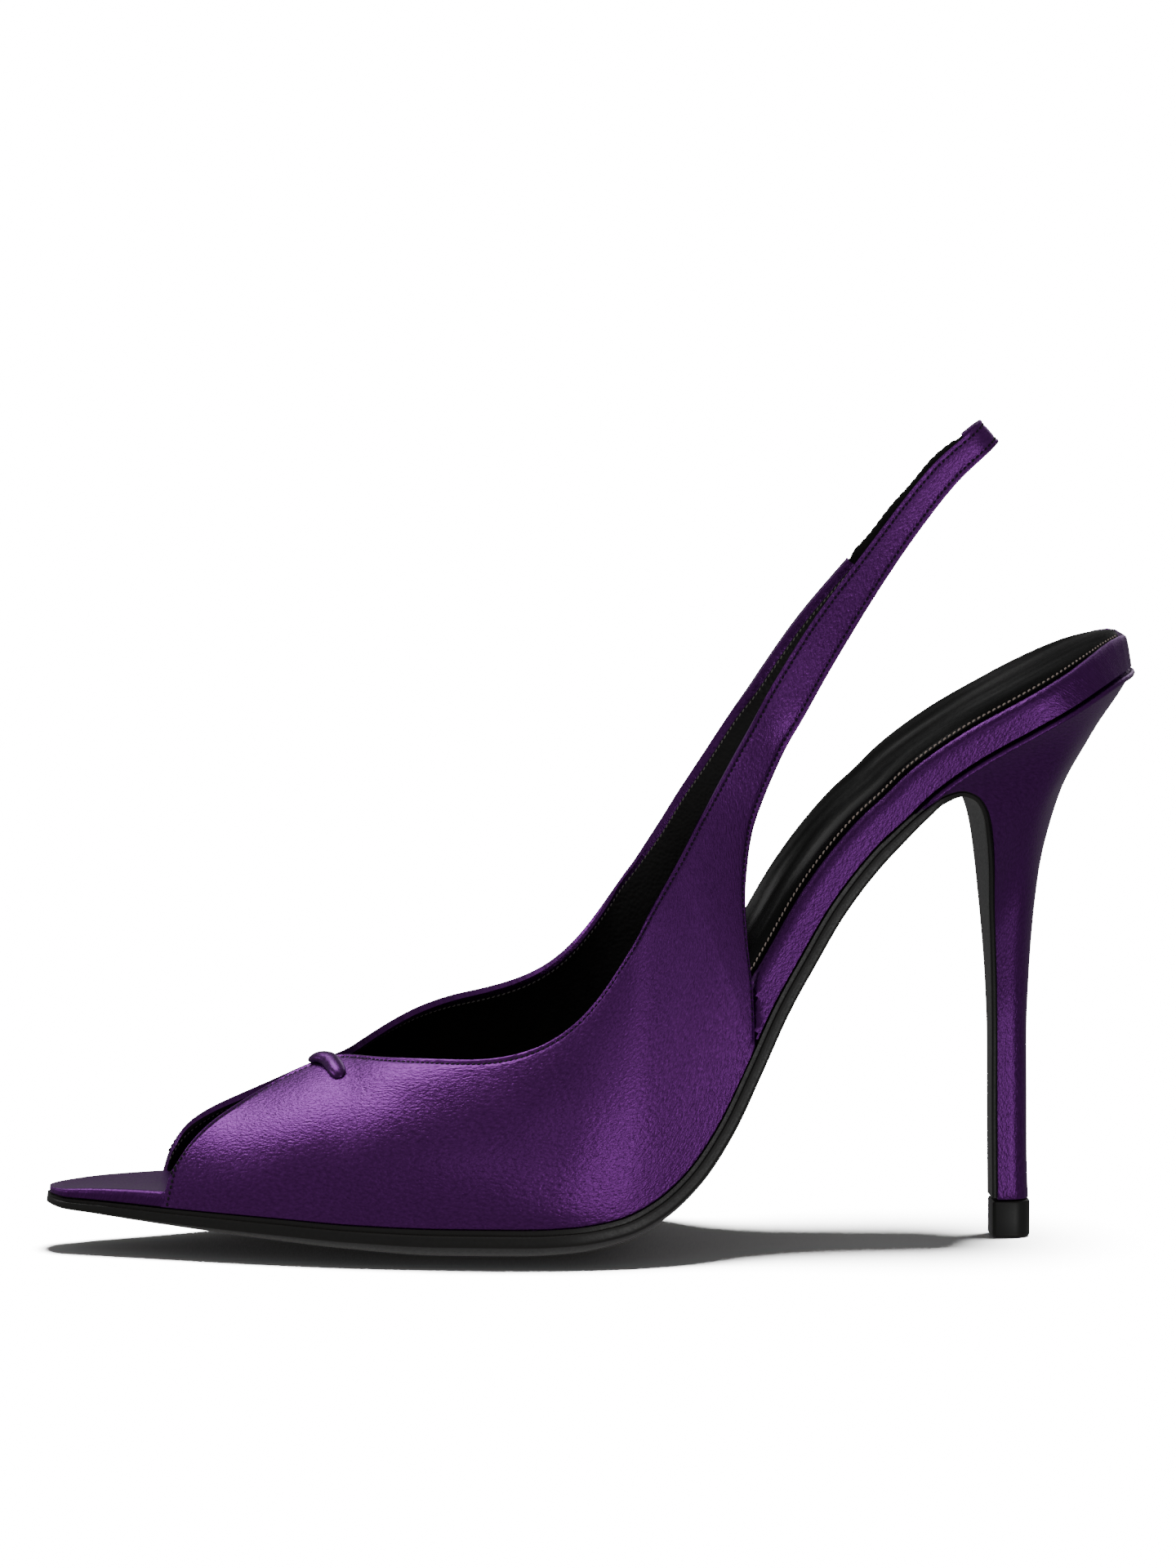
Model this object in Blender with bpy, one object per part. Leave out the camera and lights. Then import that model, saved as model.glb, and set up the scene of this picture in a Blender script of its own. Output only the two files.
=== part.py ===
"""Peep toe slingback pump, left shoe: satin upper on a wrapped insole board, leather sole and a stiletto heel.

Frame: millimetres in the tables, metres in the objects. +Z is up, the toe points along -X, the lateral
side is -Y. The origin is the middle of the top lift's bottom face, on the floor.
"""

import bmesh
import bpy
import numpy as np
from mathutils import Vector

MM = 0.001

# Driving sizes, mm
TOE_REACH = 188.0  # heel axis to toe tip, level
HEEL_HEIGHT = 101.5  # floor to the seat's underside above the heel axis
BALL_WIDTH = 73.0
INSTEP_RISE = 160.0  # floor to the top of the sling loop
WALL = 1.4  # satin and lining of the upper together
GAP = 0.3  # between curved pieces
TREAD_THICK = 3.4
BOARD_THICK = 6.0
SOCK_THICK = 1.5
SOCK_LIFT = 0.15  # more room where the sock's few points cut across the board's curve
WELT = 0.5  # sole edge beyond the upper
SOCK_INSET = 1.9
SEAT_ROUND = 22.0  # length over which the seat's outline rounds off
TOE_ROUND = 3.6
LIFT_HEIGHT = 7.3
LIFT_LENGTH = 7.7
LIFT_WIDTH = 8.2
FLAP_THICK = 1.1
BAND_WIDTH = 3.4
TOP_DISH = 0.4  # how far the board's top follows the crown of its bottom
BAND_THICK = 1.5
ELASTIC_THICK = 1.2

# Where pieces start and stop, as shares of TOE_REACH from the heel axis
VAMP_FRONT = 0.886
QUARTER_BACK = 0.281
SOCK_FRONT = 0.815
STEP = 0.007  # length over which the board steps in under the upper
STEP_LEAN = 2.1  # how far along the board the quarter's back edge moves per mm of height
SOLE_LEAVES = 0.152  # where the sole leather parts from the board towards the breast
TREAD_FLAT = 0.3  # share of the bottom's width that is not crowned

# Feather line, one row per section from toe tip to seat back. x: share of TOE_REACH, z: share of
# HEEL_HEIGHT, lateral, medial and crown: shares of BALL_WIDTH, board: share of BOARD_THICK,
# sole: share of TREAD_THICK
FEATHER = (
    ("x", "z", "lateral", "medial", "crown", "board", "sole"),
    (0.9976, 0.1090, 0.066, 0.066, 0.0006, 0.16, 0.50),
    (0.9795, 0.1048, 0.087, 0.087, 0.0044, 0.26, 0.60),
    (0.9465, 0.1027, 0.128, 0.130, 0.0111, 0.36, 0.68),
    (0.8854, 0.0964, 0.197, 0.195, 0.0205, 0.48, 0.78),
    (0.8323, 0.0920, 0.259, 0.256, 0.0290, 0.52, 0.86),
    (0.7672, 0.0867, 0.329, 0.332, 0.0394, 0.53, 0.92),
    (0.6930, 0.0795, 0.395, 0.408, 0.0500, 0.53, 0.95),
    (0.6027, 0.0755, 0.447, 0.477, 0.0608, 0.53, 1.00),
    (0.5186, 0.0755, 0.479, 0.507, 0.0629, 0.55, 1.00),
    (0.4705, 0.0796, 0.488, 0.499, 0.0621, 0.60, 1.00),
    (0.4234, 0.0937, 0.479, 0.466, 0.0565, 0.68, 0.98),
    (0.3875, 0.1235, 0.460, 0.425, 0.0490, 0.78, 0.95),
    (0.3535, 0.1752, 0.436, 0.384, 0.0405, 0.88, 0.92),
    (0.3216, 0.2563, 0.414, 0.349, 0.0329, 0.96, 0.90),
    (0.2906, 0.3688, 0.392, 0.323, 0.0253, 1.00, 0.90),
    (0.2607, 0.4863, 0.373, 0.308, 0.0186, 1.00, 0.90),
    (0.2347, 0.5712, 0.360, 0.305, 0.0128, 1.00, 0.90),
    (0.1997, 0.6779, 0.345, 0.307, 0.0071, 1.00, 0.90),
    (0.1497, 0.7904, 0.334, 0.312, 0.0000, 1.00, 0.89),
    (0.1257, 0.8304, 0.332, 0.316, 0.0000, 1.00, 0.85),
    (0.0987, 0.8783, 0.331, 0.319, 0.0000, 1.00, 0.80),
    (0.0497, 0.9424, 0.334, 0.329, 0.0000, 1.00, 0.80),
    (-0.0024, 0.9958, 0.337, 0.336, 0.0000, 1.00, 0.80),
    (-0.0454, 1.0383, 0.337, 0.337, 0.0000, 1.00, 0.80),
    (-0.0873, 1.0790, 0.332, 0.332, 0.0000, 0.98, 0.80),
    (-0.1083, 1.0946, 0.326, 0.326, 0.0000, 0.96, 0.80),
    (-0.1233, 1.0995, 0.322, 0.322, 0.0000, 0.95, 0.80),
)

# Sole leather from the shank over the arch and down the heel's breast: its hidden side. x and z as
# above, half: share of BALL_WIDTH, thick: share of TREAD_THICK
BREAST = (
    ("x", "z", "half", "thick"),
    (0.1257, 0.8279, 0.331, 0.840),
    (0.1097, 0.8530, 0.324, 0.700),
    (0.0908, 0.8756, 0.315, 0.560),
    (0.0669, 0.8844, 0.290, 0.380),
    (0.0481, 0.8709, 0.257, 0.330),
    (0.0353, 0.8356, 0.222, 0.324),
    (0.0295, 0.7896, 0.189, 0.324),
    (0.0257, 0.7258, 0.160, 0.324),
    (0.0230, 0.6473, 0.118, 0.324),
    (0.0201, 0.5688, 0.091, 0.324),
    (0.0179, 0.4903, 0.073, 0.324),
    (0.0164, 0.3922, 0.058, 0.324),
    (0.0160, 0.2449, 0.054, 0.324),
    (0.0150, 0.0781, 0.053, 0.324),
)

# Heel, one row per level. rise: share of the height from top lift to seat, front and back: shares of
# TOE_REACH, half: share of BALL_WIDTH
HEEL = (
    ("rise", "front", "back", "half"),
    (0.000, 0.026, -0.0192, 0.0555),
    (0.070, 0.026, -0.0176, 0.0555),
    (0.210, 0.027, -0.0170, 0.0560),
    (0.318, 0.028, -0.0165, 0.0575),
    (0.393, 0.029, -0.0178, 0.0600),
    (0.503, 0.031, -0.0213, 0.0760),
    (0.565, 0.032, -0.0245, 0.0870),
    (0.640, 0.034, -0.0300, 0.1010),
    (0.715, 0.037, -0.0400, 0.1260),
    (0.794, 0.041, -0.0545, 0.1660),
    (0.854, 0.046, -0.0735, 0.1960),
    (0.903, 0.060, -0.0890, 0.2290),
    (0.951, 0.092, -0.1080, 0.2650),
    (0.980, 0.114, -0.1180, 0.3000),
    (1.000, 0.128, -0.1230, 0.3340),
)

# Upper, one row per rung from the feather line or back edge (foot) to the opening or topline (head).
# x: shares of TOE_REACH, z: shares of INSTEP_RISE, y: shares of BALL_WIDTH, arch: how round the rung
# is, lift: what the medial head stands higher, share of INSTEP_RISE, swell: how far the side bulges
# out, share of BALL_WIDTH. A foot with no z stands on the feather line.
RUNGS = (
    ("foot_x", "foot_z", "foot_y", "head_x", "head_z", "head_y", "arch", "lift", "swell"),
    (0.8845, None, None, 0.8725, 0.1062, 0.186, 0.30, 0.0023, 0.003),
    (0.8700, None, None, 0.8559, 0.1339, 0.155, 0.40, 0.0019, 0.007),
    (0.8511, None, None, 0.8299, 0.1605, 0.105, 0.50, 0.0012, 0.014),
    (0.8245, None, None, 0.7948, 0.1834, 0.050, 0.60, 0.0006, 0.023),
    (0.7926, None, None, 0.7608, 0.2036, 0.013, 0.66, 0.0001, 0.033),
    (0.7580, None, None, 0.7353, 0.2180, 0.000, 0.70, 0.0000, 0.038),
    (0.7261, None, None, 0.6991, 0.2331, 0.000, 0.70, 0.0000, 0.041),
    (0.6888, None, None, 0.6622, 0.2370, 0.123, 0.66, 0.0122, 0.041),
    (0.6489, None, None, 0.6126, 0.2409, 0.233, 0.58, 0.0333, 0.038),
    (0.6064, None, None, 0.5592, 0.2437, 0.315, 0.48, 0.0442, 0.036),
    (0.5638, None, None, 0.5111, 0.2574, 0.364, 0.42, 0.0402, 0.034),
    (0.5213, None, None, 0.4739, 0.2824, 0.384, 0.40, 0.0323, 0.033),
    (0.4787, None, None, 0.4445, 0.3167, 0.386, 0.38, 0.0254, 0.032),
    (0.4388, None, None, 0.4211, 0.3562, 0.381, 0.36, 0.0190, 0.030),
    (0.4016, None, None, 0.4020, 0.3919, 0.376, 0.34, 0.0154, 0.029),
    (0.3670, None, None, 0.3881, 0.4214, 0.363, 0.32, 0.0103, 0.027),
    (0.3378, None, None, 0.3771, 0.4440, 0.348, 0.30, 0.0069, 0.026),
    (0.3085, None, None, 0.3680, 0.4622, 0.338, 0.28, 0.0067, 0.023),
    (0.2810, None, None, 0.3595, 0.4792, 0.325, 0.25, 0.0064, 0.019),
    (0.2838, 0.3216, 0.375, 0.3499, 0.4986, 0.311, 0.22, 0.0062, 0.014),
    (0.2881, 0.3780, 0.343, 0.3415, 0.5162, 0.299, 0.18, 0.0060, 0.010),
    (0.2898, 0.4281, 0.312, 0.3330, 0.5338, 0.288, 0.14, 0.0057, 0.005),
    (0.2862, 0.4720, 0.280, 0.3256, 0.5482, 0.277, 0.10, 0.0054, 0.003),
    (0.2804, 0.5096, 0.253, 0.3187, 0.5620, 0.267, 0.08, 0.0052, 0.001),
    (0.2688, 0.5460, 0.229, 0.3097, 0.5795, 0.255, 0.06, 0.0050, 0.000),
    (0.2540, 0.5836, 0.205, 0.2960, 0.6065, 0.238, 0.04, 0.0046, 0.000),
    (0.2402, 0.6149, 0.188, 0.2811, 0.6353, 0.219, 0.02, 0.0042, 0.000),
)

# Sling strap from the last rung to the loop. x, z and y as above, of its middle line, wide in mm
STRAP = (
    ("x", "z", "y", "wide"),
    (0.2461, 0.6549, 0.190, 8.5),
    (0.2276, 0.6905, 0.172, 8.3),
    (0.2100, 0.7231, 0.155, 8.1),
    (0.1920, 0.7539, 0.136, 7.8),
    (0.1746, 0.7821, 0.117, 7.3),
    (0.1396, 0.8366, 0.084, 6.4),
    (0.1051, 0.8891, 0.060, 6.1),
    (0.0706, 0.9373, 0.049, 5.9),
    (0.0428, 0.9659, 0.048, 5.5),
)
STRAP_SPLIT = 0.150  # medial strap ends here, share of TOE_REACH
ELASTIC_END = 0.047  # where the elastic meets the loop, share of TOE_REACH


def smooth(at, keys, values):
    """Cubic curve through the rows of a table that never overshoots them."""
    keys, values = np.asarray(keys, float), np.asarray(values, float)
    span = np.diff(keys)
    slope = np.diff(values) / span
    tangent = np.empty(len(keys))
    tangent[0], tangent[-1] = slope[0], slope[-1]
    for i in range(1, len(keys) - 1):
        a, b = slope[i - 1], slope[i]
        if a * b <= 0:
            tangent[i] = 0.0
            continue
        wa, wb = 2 * span[i] + span[i - 1], span[i] + 2 * span[i - 1]
        tangent[i] = (wa + wb) / (wa / a + wb / b)
    at = np.clip(np.asarray(at, float), keys[0], keys[-1])
    i = np.clip(np.searchsorted(keys, at, side="right") - 1, 0, len(span) - 1)
    h = span[i]
    t = (at - keys[i]) / h
    return (
        values[i] * (2 * t**3 - 3 * t**2 + 1)
        + h * tangent[i] * (t**3 - 2 * t**2 + t)
        + values[i + 1] * (3 * t**2 - 2 * t**3)
        + h * tangent[i + 1] * (t**3 - t**2)
    )


def column(table, name):
    """One named column of a table, without its heading row."""
    place = table[0].index(name)
    return [row[place] for row in table[1:]]


def lengths(x, z):
    """Distance walked along a line at each of its points."""
    return np.concatenate([[0.0], np.cumsum(np.hypot(np.diff(x), np.diff(z)))])


class Bottom:
    """The feather line and everything that is measured along it."""

    def __init__(self):
        self.x = -TOE_REACH * np.array(column(FEATHER, "x"))
        self.z = HEEL_HEIGHT * np.array(column(FEATHER, "z"))
        self.s = lengths(self.x, self.z)
        self.end = self.s[-1]

    def s_at(self, share):
        """Walked distance at a share of TOE_REACH."""
        return float(np.interp(-TOE_REACH * share, self.x, self.s))

    def value(self, name, s, of):
        """A table column at s, in mm."""
        return of * smooth(s, self.s, column(FEATHER, name))

    def point(self, s):
        """Place of the feather line at s, (x, z)."""
        return np.array([smooth(s, self.s, self.x), smooth(s, self.s, self.z)])

    def normal(self, s):
        """Upward normal of the feather line at s, (x, z)."""
        step = 0.4
        d = self.point(min(s + step, self.end)) - self.point(max(s - step, 0.0))
        return np.array([-d[1], d[0]]) / np.hypot(*d)

    def half(self, s, side, inset=0.0):
        """Half width of the feather outline at s on a side, rounded off at both ends."""
        name = "lateral" if side < 0 else "medial"
        full = self.value(name, s, BALL_WIDTH) - inset
        for reach, rounding in ((s - inset, TOE_ROUND), (self.end - inset - s, SEAT_ROUND)):
            part = np.clip(reach / rounding, 0.0, 1.0)
            full = full * np.sqrt(1.0 - (1.0 - part) ** 2)
        return full

    def dip(self, s, y):
        """How far the crowned bottom hangs below its edges at y from the middle."""
        share = min(1.0, abs(y) / max(0.1, self.half(s, -1 if y < 0 else 1)))
        rim = max(0.0, (share - TREAD_FLAT) / (1.0 - TREAD_FLAT)) ** 2
        return self.value("crown", s, BALL_WIDTH) * (1.0 - rim)


BOTTOM = Bottom()


def stations(start, stop, round_start=0.0, round_stop=0.0):
    """Places along the bottom, the same for every piece, closer together where an end rounds off."""
    grid = np.linspace(0.0, BOTTOM.end, 54)
    first, last = start + round_start, stop - round_stop
    cuts = np.concatenate([[first], grid[(grid > first + 0.8) & (grid < last - 0.8)], [last]])
    front = start + round_start * (1 - np.cos(np.radians([14, 30, 50, 70]))) if round_start else []
    back = stop - round_stop * (1 - np.cos(np.radians([72, 56, 40, 26, 14]))) if round_stop else []
    return np.concatenate([front, cuts, back])


def new_object(name, mesh, finish):
    """Link a mesh object with its own material."""
    colour, roughness, metallic = finish
    obj = bpy.data.objects.new(name, mesh)
    bpy.context.collection.objects.link(obj)
    material = bpy.data.materials.new(name)
    material.use_nodes = True
    shader = material.node_tree.nodes["Principled BSDF"]
    shader.inputs["Base Color"].default_value = (*colour, 1.0)
    shader.inputs["Roughness"].default_value = roughness
    shader.inputs["Metallic"].default_value = metallic
    mesh.materials.append(material)
    return obj


def finish_mesh(name, bm, finish, crease=38.0):
    """Turn a bmesh in mm into a smooth shaded object in metres."""
    bmesh.ops.remove_doubles(bm, verts=bm.verts, dist=0.001)
    bmesh.ops.recalc_face_normals(bm, faces=bm.faces)
    bmesh.ops.scale(bm, vec=(MM, MM, MM), verts=bm.verts)
    for edge in bm.edges:
        if len(edge.link_faces) == 2 and edge.calc_face_angle(0.0) > np.radians(crease):
            edge.smooth = False
    for face in bm.faces:
        face.smooth = True
    mesh = bpy.data.meshes.new(name)
    bm.to_mesh(mesh)
    bm.free()
    return new_object(name, mesh, finish)


def loft(name, rings, finish):
    """Closed solid through rings of equal count, capped at both ends."""
    bm = bmesh.new()
    rows = [[bm.verts.new(Vector(p)) for p in ring] for ring in rings]
    for a, b in zip(rows, rows[1:]):
        for i in range(len(a)):
            j = (i + 1) % len(a)
            bm.faces.new((a[i], a[j], b[j], b[i]))
    bm.faces.new(rows[0][::-1])
    bm.faces.new(rows[-1])
    return finish_mesh(name, bm, finish)


def place(s, offset, y):
    """3-D point at s along the bottom, raised along its normal."""
    x, z = BOTTOM.point(s) + offset * BOTTOM.normal(s)
    return (x, y, z)


ACROSS = (-1.0, -0.78, -0.54, -0.3, 0.3, 0.54, 0.78, 1.0)


def board_inset(s, rise=0.0):
    """How far the board's edge stands in from the feather outline, rise mm above it."""
    span = STEP * TOE_REACH
    front = np.clip((s - BOTTOM.s_at(VAMP_FRONT + STEP)) / span, 0.0, 1.0)
    back = np.clip((BOTTOM.s_at(QUARTER_BACK) + STEP_LEAN * rise + 3 * span - s) / span, 0.0, 1.0)
    return (WALL + 3 * GAP) * min(front, back)


def make_board():
    """Insole board, wrapped, with rounded top edges."""
    quarter = BOTTOM.s_at(QUARTER_BACK)
    edges = [BOTTOM.s_at(VAMP_FRONT + STEP), BOTTOM.s_at(VAMP_FRONT), *np.arange(quarter, quarter + 16, 2.6)]
    places = np.sort(np.concatenate([stations(0.35, BOTTOM.end - 0.3, TOE_ROUND, SEAT_ROUND), edges]))
    places = places[np.concatenate([[True], np.diff(places) > 0.25])]
    rings = []
    for s in places:
        thick = BOTTOM.value("board", s, BOARD_THICK)
        wide = {side: BOTTOM.half(s, side) for side in (-1, 1)}
        foot = {side: wide[side] - board_inset(s) for side in (-1, 1)}
        ease = min(1.6, 0.35 * thick, 0.4 * min(foot.values()))
        ring = []
        for w in ACROSS:
            y = w * foot[-1 if w < 0 else 1]
            ring.append(place(s, 1.4 * GAP - BOTTOM.dip(s, y), y))
        levels = ((0.5 * (thick - ease), 0.0), (thick - ease, 0.0), (thick - 0.3 * ease, 0.3), (thick, 1.0))
        for rise, draw in levels:
            ring.append(place(s, GAP + rise, wide[1] - board_inset(s, rise) - draw * ease))
        for w in (0.75, 0.0, -0.75):
            y = w * (wide[-1 if w < 0 else 1] - board_inset(s, thick) - ease)
            ring.append(place(s, GAP + thick - TOP_DISH * (1 - w * w) * BOTTOM.dip(s, 0.0), y))
        for rise, draw in levels[::-1]:
            ring.append(place(s, GAP + rise, -(wide[-1] - board_inset(s, rise) - draw * ease)))
        rings.append(ring)
    return loft("insole_board", rings, ((0.125, 0.018, 0.25), 0.42, 0.0))


def make_sock():
    """Padded leather sock on the board, thin at its edge."""
    start, stop = BOTTOM.s_at(SOCK_FRONT), BOTTOM.end - SOCK_INSET
    rings = []
    for s in stations(start, stop - 0.3, 0.0, SEAT_ROUND - SOCK_INSET):
        thick = BOTTOM.value("board", s, BOARD_THICK)
        under = board_inset(s, thick)
        base = 2 * GAP + thick + SOCK_LIFT
        ring = []
        for w in ACROSS:
            y = w * (BOTTOM.half(s, -1 if w < 0 else 1, SOCK_INSET) - under)
            ring.append(place(s, base - TOP_DISH * (1 - w * w) * BOTTOM.dip(s, 0.0), y))
        for w in ACROSS[::-1]:
            y = w * (BOTTOM.half(s, -1 if w < 0 else 1, SOCK_INSET) - under)
            swell = SOCK_THICK * (0.6 + 0.4 * (1 - w * w))
            ring.append(place(s, base + swell - TOP_DISH * (1 - w * w) * BOTTOM.dip(s, 0.0), y))
        rings.append(ring)
    return loft("sock", rings, ((0.012, 0.012, 0.012), 0.4, 0.0))


def breast_line(count):
    """Hidden side of the sole leather past the shank, rows (x, z, half width, thickness)."""
    leave = BOTTOM.s_at(SOLE_LEAVES)
    start = (*BOTTOM.point(leave), BOTTOM.half(leave, -1) + WELT, BOTTOM.value("sole", leave, TREAD_THICK))
    rows = [(-TOE_REACH * x, HEEL_HEIGHT * z, BALL_WIDTH * h, TREAD_THICK * t) for x, z, h, t in BREAST[1:]]
    rows = np.array([start, *rows])
    walk = lengths(rows[:, 0], rows[:, 1])
    at = np.linspace(0.0, walk[-1], count)
    return np.stack([smooth(at, walk, rows[:, c]) for c in range(4)], axis=1)


def across_line(x, z):
    """Normals of a line of points, (x, z) each."""
    dx, dz = np.gradient(x), np.gradient(z)
    size = np.hypot(dx, dz)
    return -dz / size, dx / size


def make_outsole():
    """Leather sole with its flap down the heel's breast, flat where it treads."""
    rings = []
    for s in stations(0.0, BOTTOM.s_at(SOLE_LEAVES), TOE_ROUND):
        thick = BOTTOM.value("sole", s, TREAD_THICK)
        ring = []
        for drop, sequence in ((0.0, ACROSS), (thick, ACROSS[::-1])):
            for w in sequence:
                y = w * (BOTTOM.half(s, -1 if w < 0 else 1) + WELT)
                px, _, pz = place(s, -BOTTOM.dip(s, y) - drop, y)
                ring.append((px, y, max(pz, 0.0)))
        rings.append(ring)
    x, z, half, thick = breast_line(36).T
    nx, nz = across_line(x, z)
    for i in range(1, len(x)):
        top = [(x[i], w * half[i], z[i]) for w in ACROSS]
        low = [(x[i] - nx[i] * thick[i], w * half[i], z[i] - nz[i] * thick[i]) for w in ACROSS[::-1]]
        rings.append(top + low)
    return loft("outsole", rings, ((0.02, 0.02, 0.02), 0.45, 0.0))


def heel_blank():
    """Heel before the breast is cut: tilted levels from the top lift to the seat."""
    low = LIFT_HEIGHT + GAP
    front, back = -TOE_REACH * column(HEEL, "front")[-1], -TOE_REACH * column(HEEL, "back")[-1]
    turn = np.radians([90, 74, 58, 42, 28, 14])
    xs = np.concatenate([np.linspace(front, back - SEAT_ROUND, 7)[:-1], back - SEAT_ROUND * (1 - np.cos(turn))])
    share = (xs - front) / (back - front)
    wide = np.where(xs > back - SEAT_ROUND, np.sqrt(np.clip(1 - (1 - (back - xs) / SEAT_ROUND) ** 2, 0, 1)), 1.0)
    seat = smooth(xs, BOTTOM.x, BOTTOM.z)
    rings = []
    for row in HEEL[1:]:
        rise, x0, x1, half = row[0], -TOE_REACH * row[1], -TOE_REACH * row[2], BALL_WIDTH * row[3]
        x = x0 + share * (x1 - x0)
        z = low + (seat - low) * rise
        near = [(x[i], -half * wide[i], z[i]) for i in range(len(xs))]
        tip = [(x1, 0.0, low + (seat[-1] - low) * rise)]
        far = [(x[i], half * wide[i], z[i]) for i in reversed(range(len(xs)))]
        rings.append(near + tip + far)
    bm = bmesh.new()
    rows = [[bm.verts.new(Vector(p)) for p in ring] for ring in rings]
    count = len(rows[0])
    for a, b in zip(rows, rows[1:]):
        for i in range(count):
            j = (i + 1) % count
            bm.faces.new((a[i], a[j], b[j], b[i]))
    for ring in (rows[0], rows[-1]):
        half_count = count // 2
        for i in range(half_count - 1):
            bm.faces.new((ring[i], ring[i + 1], ring[count - 2 - i], ring[count - 1 - i]))
        bm.faces.new((ring[half_count - 1], ring[half_count], ring[half_count + 1]))
    return finish_mesh("heel", bm, ((0.125, 0.018, 0.25), 0.42, 0.0))


def breast_cutter():
    """Prism that clears everything in front of the sole leather's flap."""
    x, z, _, _ = breast_line(36).T
    nx, nz = across_line(x, z)
    line = list(zip(x + GAP * nx, z + GAP * nz))
    line += [(line[-1][0], -5.0), (-TOE_REACH * 0.35, -5.0)]
    bm = bmesh.new()
    near = [bm.verts.new((p[0], -BALL_WIDTH, p[1])) for p in line]
    far = [bm.verts.new((p[0], BALL_WIDTH, p[1])) for p in line]
    bm.faces.new(near)
    bm.faces.new(far[::-1])
    for i in range(len(line)):
        j = (i + 1) % len(line)
        bm.faces.new((near[i], near[j], far[j], far[i]))
    cutter = finish_mesh("breast_cutter", bm, ((0.5, 0.5, 0.5), 0.5, 0.0))
    cutter.hide_render = True
    cutter.display_type = "WIRE"
    return cutter


def make_heel():
    """Stiletto heel: the blank with its breast cut to the sole leather."""
    heel = heel_blank()
    cut = heel.modifiers.new("breast", "BOOLEAN")
    cut.operation = "DIFFERENCE"
    cut.object = breast_cutter()
    cut.solver = "EXACT"
    return heel


def make_top_lift():
    """Top lift: a short block with a flat front, a round back and eased bottom edges."""
    half_l, half_w, ease = LIFT_LENGTH / 2, LIFT_WIDTH / 2, 0.5
    turn = np.radians(np.linspace(90, -90, 13))
    rings = []
    for z, inset in ((0.0, ease), (ease, 0.0), (LIFT_HEIGHT, 0.0)):
        a, b = half_l - inset, half_w - inset
        front = [(-a, -b + 0.8, z), (-a + 0.25, -b + 0.2, z), (-a + 0.9, -b, z)]
        bow = [(a * np.cos(t), -b * np.sin(t), z) for t in turn[1:-1]]
        rings.append(front + bow + [(p[0], -p[1], p[2]) for p in front[::-1]])
    return loft("top_lift", rings, ((0.015, 0.015, 0.015), 0.5, 0.0))


def rung_rows(side):
    """All rungs of one side as rows (foot x, z, y, head x, z, y, arch, lift, swell), in mm, and how
    far along the feather line those that stand on it do."""
    rows, walked = [], []
    for fx, fz, fy, hx, hz, hy, arch, lift, swell in RUNGS[1:]:
        if fz is None:
            walked.append(BOTTOM.s_at(fx))
            foot = feather_foot(walked[-1], side)
        else:
            foot = [-TOE_REACH * fx, INSTEP_RISE * fz, BALL_WIDTH * fy * waist(fz, side)]
        head = [-TOE_REACH * hx, INSTEP_RISE * hz, BALL_WIDTH * hy]
        rows.append([*foot, *head, arch, INSTEP_RISE * lift, BALL_WIDTH * swell])
    x = -TOE_REACH * np.array(column(STRAP, "x"))
    z = INSTEP_RISE * np.array(column(STRAP, "z"))
    y = BALL_WIDTH * np.array(column(STRAP, "y"))
    nx, nz = across_line(x, z)
    for i, wide in enumerate(column(STRAP, "wide")):
        dx, dz = nx[i] * wide / 2, nz[i] * wide / 2
        rows.append([x[i] - dx, z[i] - dz, y[i], x[i] + dx, z[i] + dz, y[i], 0.0, 0.0, 0.0])
    return np.array(rows), np.array(walked)


def waist(rise, side):
    """How much narrower than the lateral back edge the medial one stands at a share of INSTEP_RISE."""
    if side < 0:
        return 1.0
    s = BOTTOM.s_at(QUARTER_BACK)
    ratio = BOTTOM.half(s, 1) / BOTTOM.half(s, -1)
    return float(np.interp(rise, (0.26, 0.56), (ratio, 1.0)))


def feather_foot(s, side):
    """Foot of a rung that stands on the sole at s: x, z, y."""
    x, z = BOTTOM.point(s) + GAP * BOTTOM.normal(s)
    return [x, z, BOTTOM.half(s, side)]


ACROSS_UPPER = np.linspace(0.0, 1.0, 7)


def side_rungs(side, per=2):
    """Finely spaced rungs of one side, each a list of points from foot to head."""
    table, walked = rung_rows(side)
    keys = np.arange(len(table))
    at = np.linspace(0, len(table) - 1, (len(table) - 1) * per + 1)
    rungs = []
    for key in at:
        fx, fz, fy, hx, hz, hy, arch, lift, swell = (smooth(key, keys, table[:, c]) for c in range(9))
        if key <= len(walked) - 1:
            fx, fz, fy = feather_foot(smooth(key, keys[: len(walked)], walked), side)
        hz = hz + (lift if side > 0 else 0.0)
        rung = []
        for t in ACROSS_UPPER:
            turn = 0.5 * np.pi * t
            across = (1 - arch) * t + arch * (1 - np.cos(turn))
            up = (1 - arch) * t + arch * np.sin(turn)
            y = fy + (hy - fy) * across + swell * 1.6 * np.sin(np.pi * t) * (1 - t)
            rung.append((fx + (hx - fx) * t, side * y, fz + (hz - fz) * up))
        rungs.append(rung)
    return rungs


def loop_rungs(start):
    """Strap round the back of the loop, from the lateral to the medial side."""
    foot, head = np.array(start[0]), np.array(start[-1])
    edge = head - foot
    run = np.array([edge[2], 0.0, -edge[0]]) / np.hypot(edge[0], edge[2])
    rungs = []
    radius = -0.5 * (foot[1] + head[1])
    for turn in np.radians([30, 60, 90, 120, 150, 180]):
        rung = []
        for p in start:
            q = np.array(p) + run * radius * np.sin(turn)
            q[1] = -radius * np.cos(turn)
            rung.append(tuple(q))
        rungs.append(rung)
    return rungs


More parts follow.
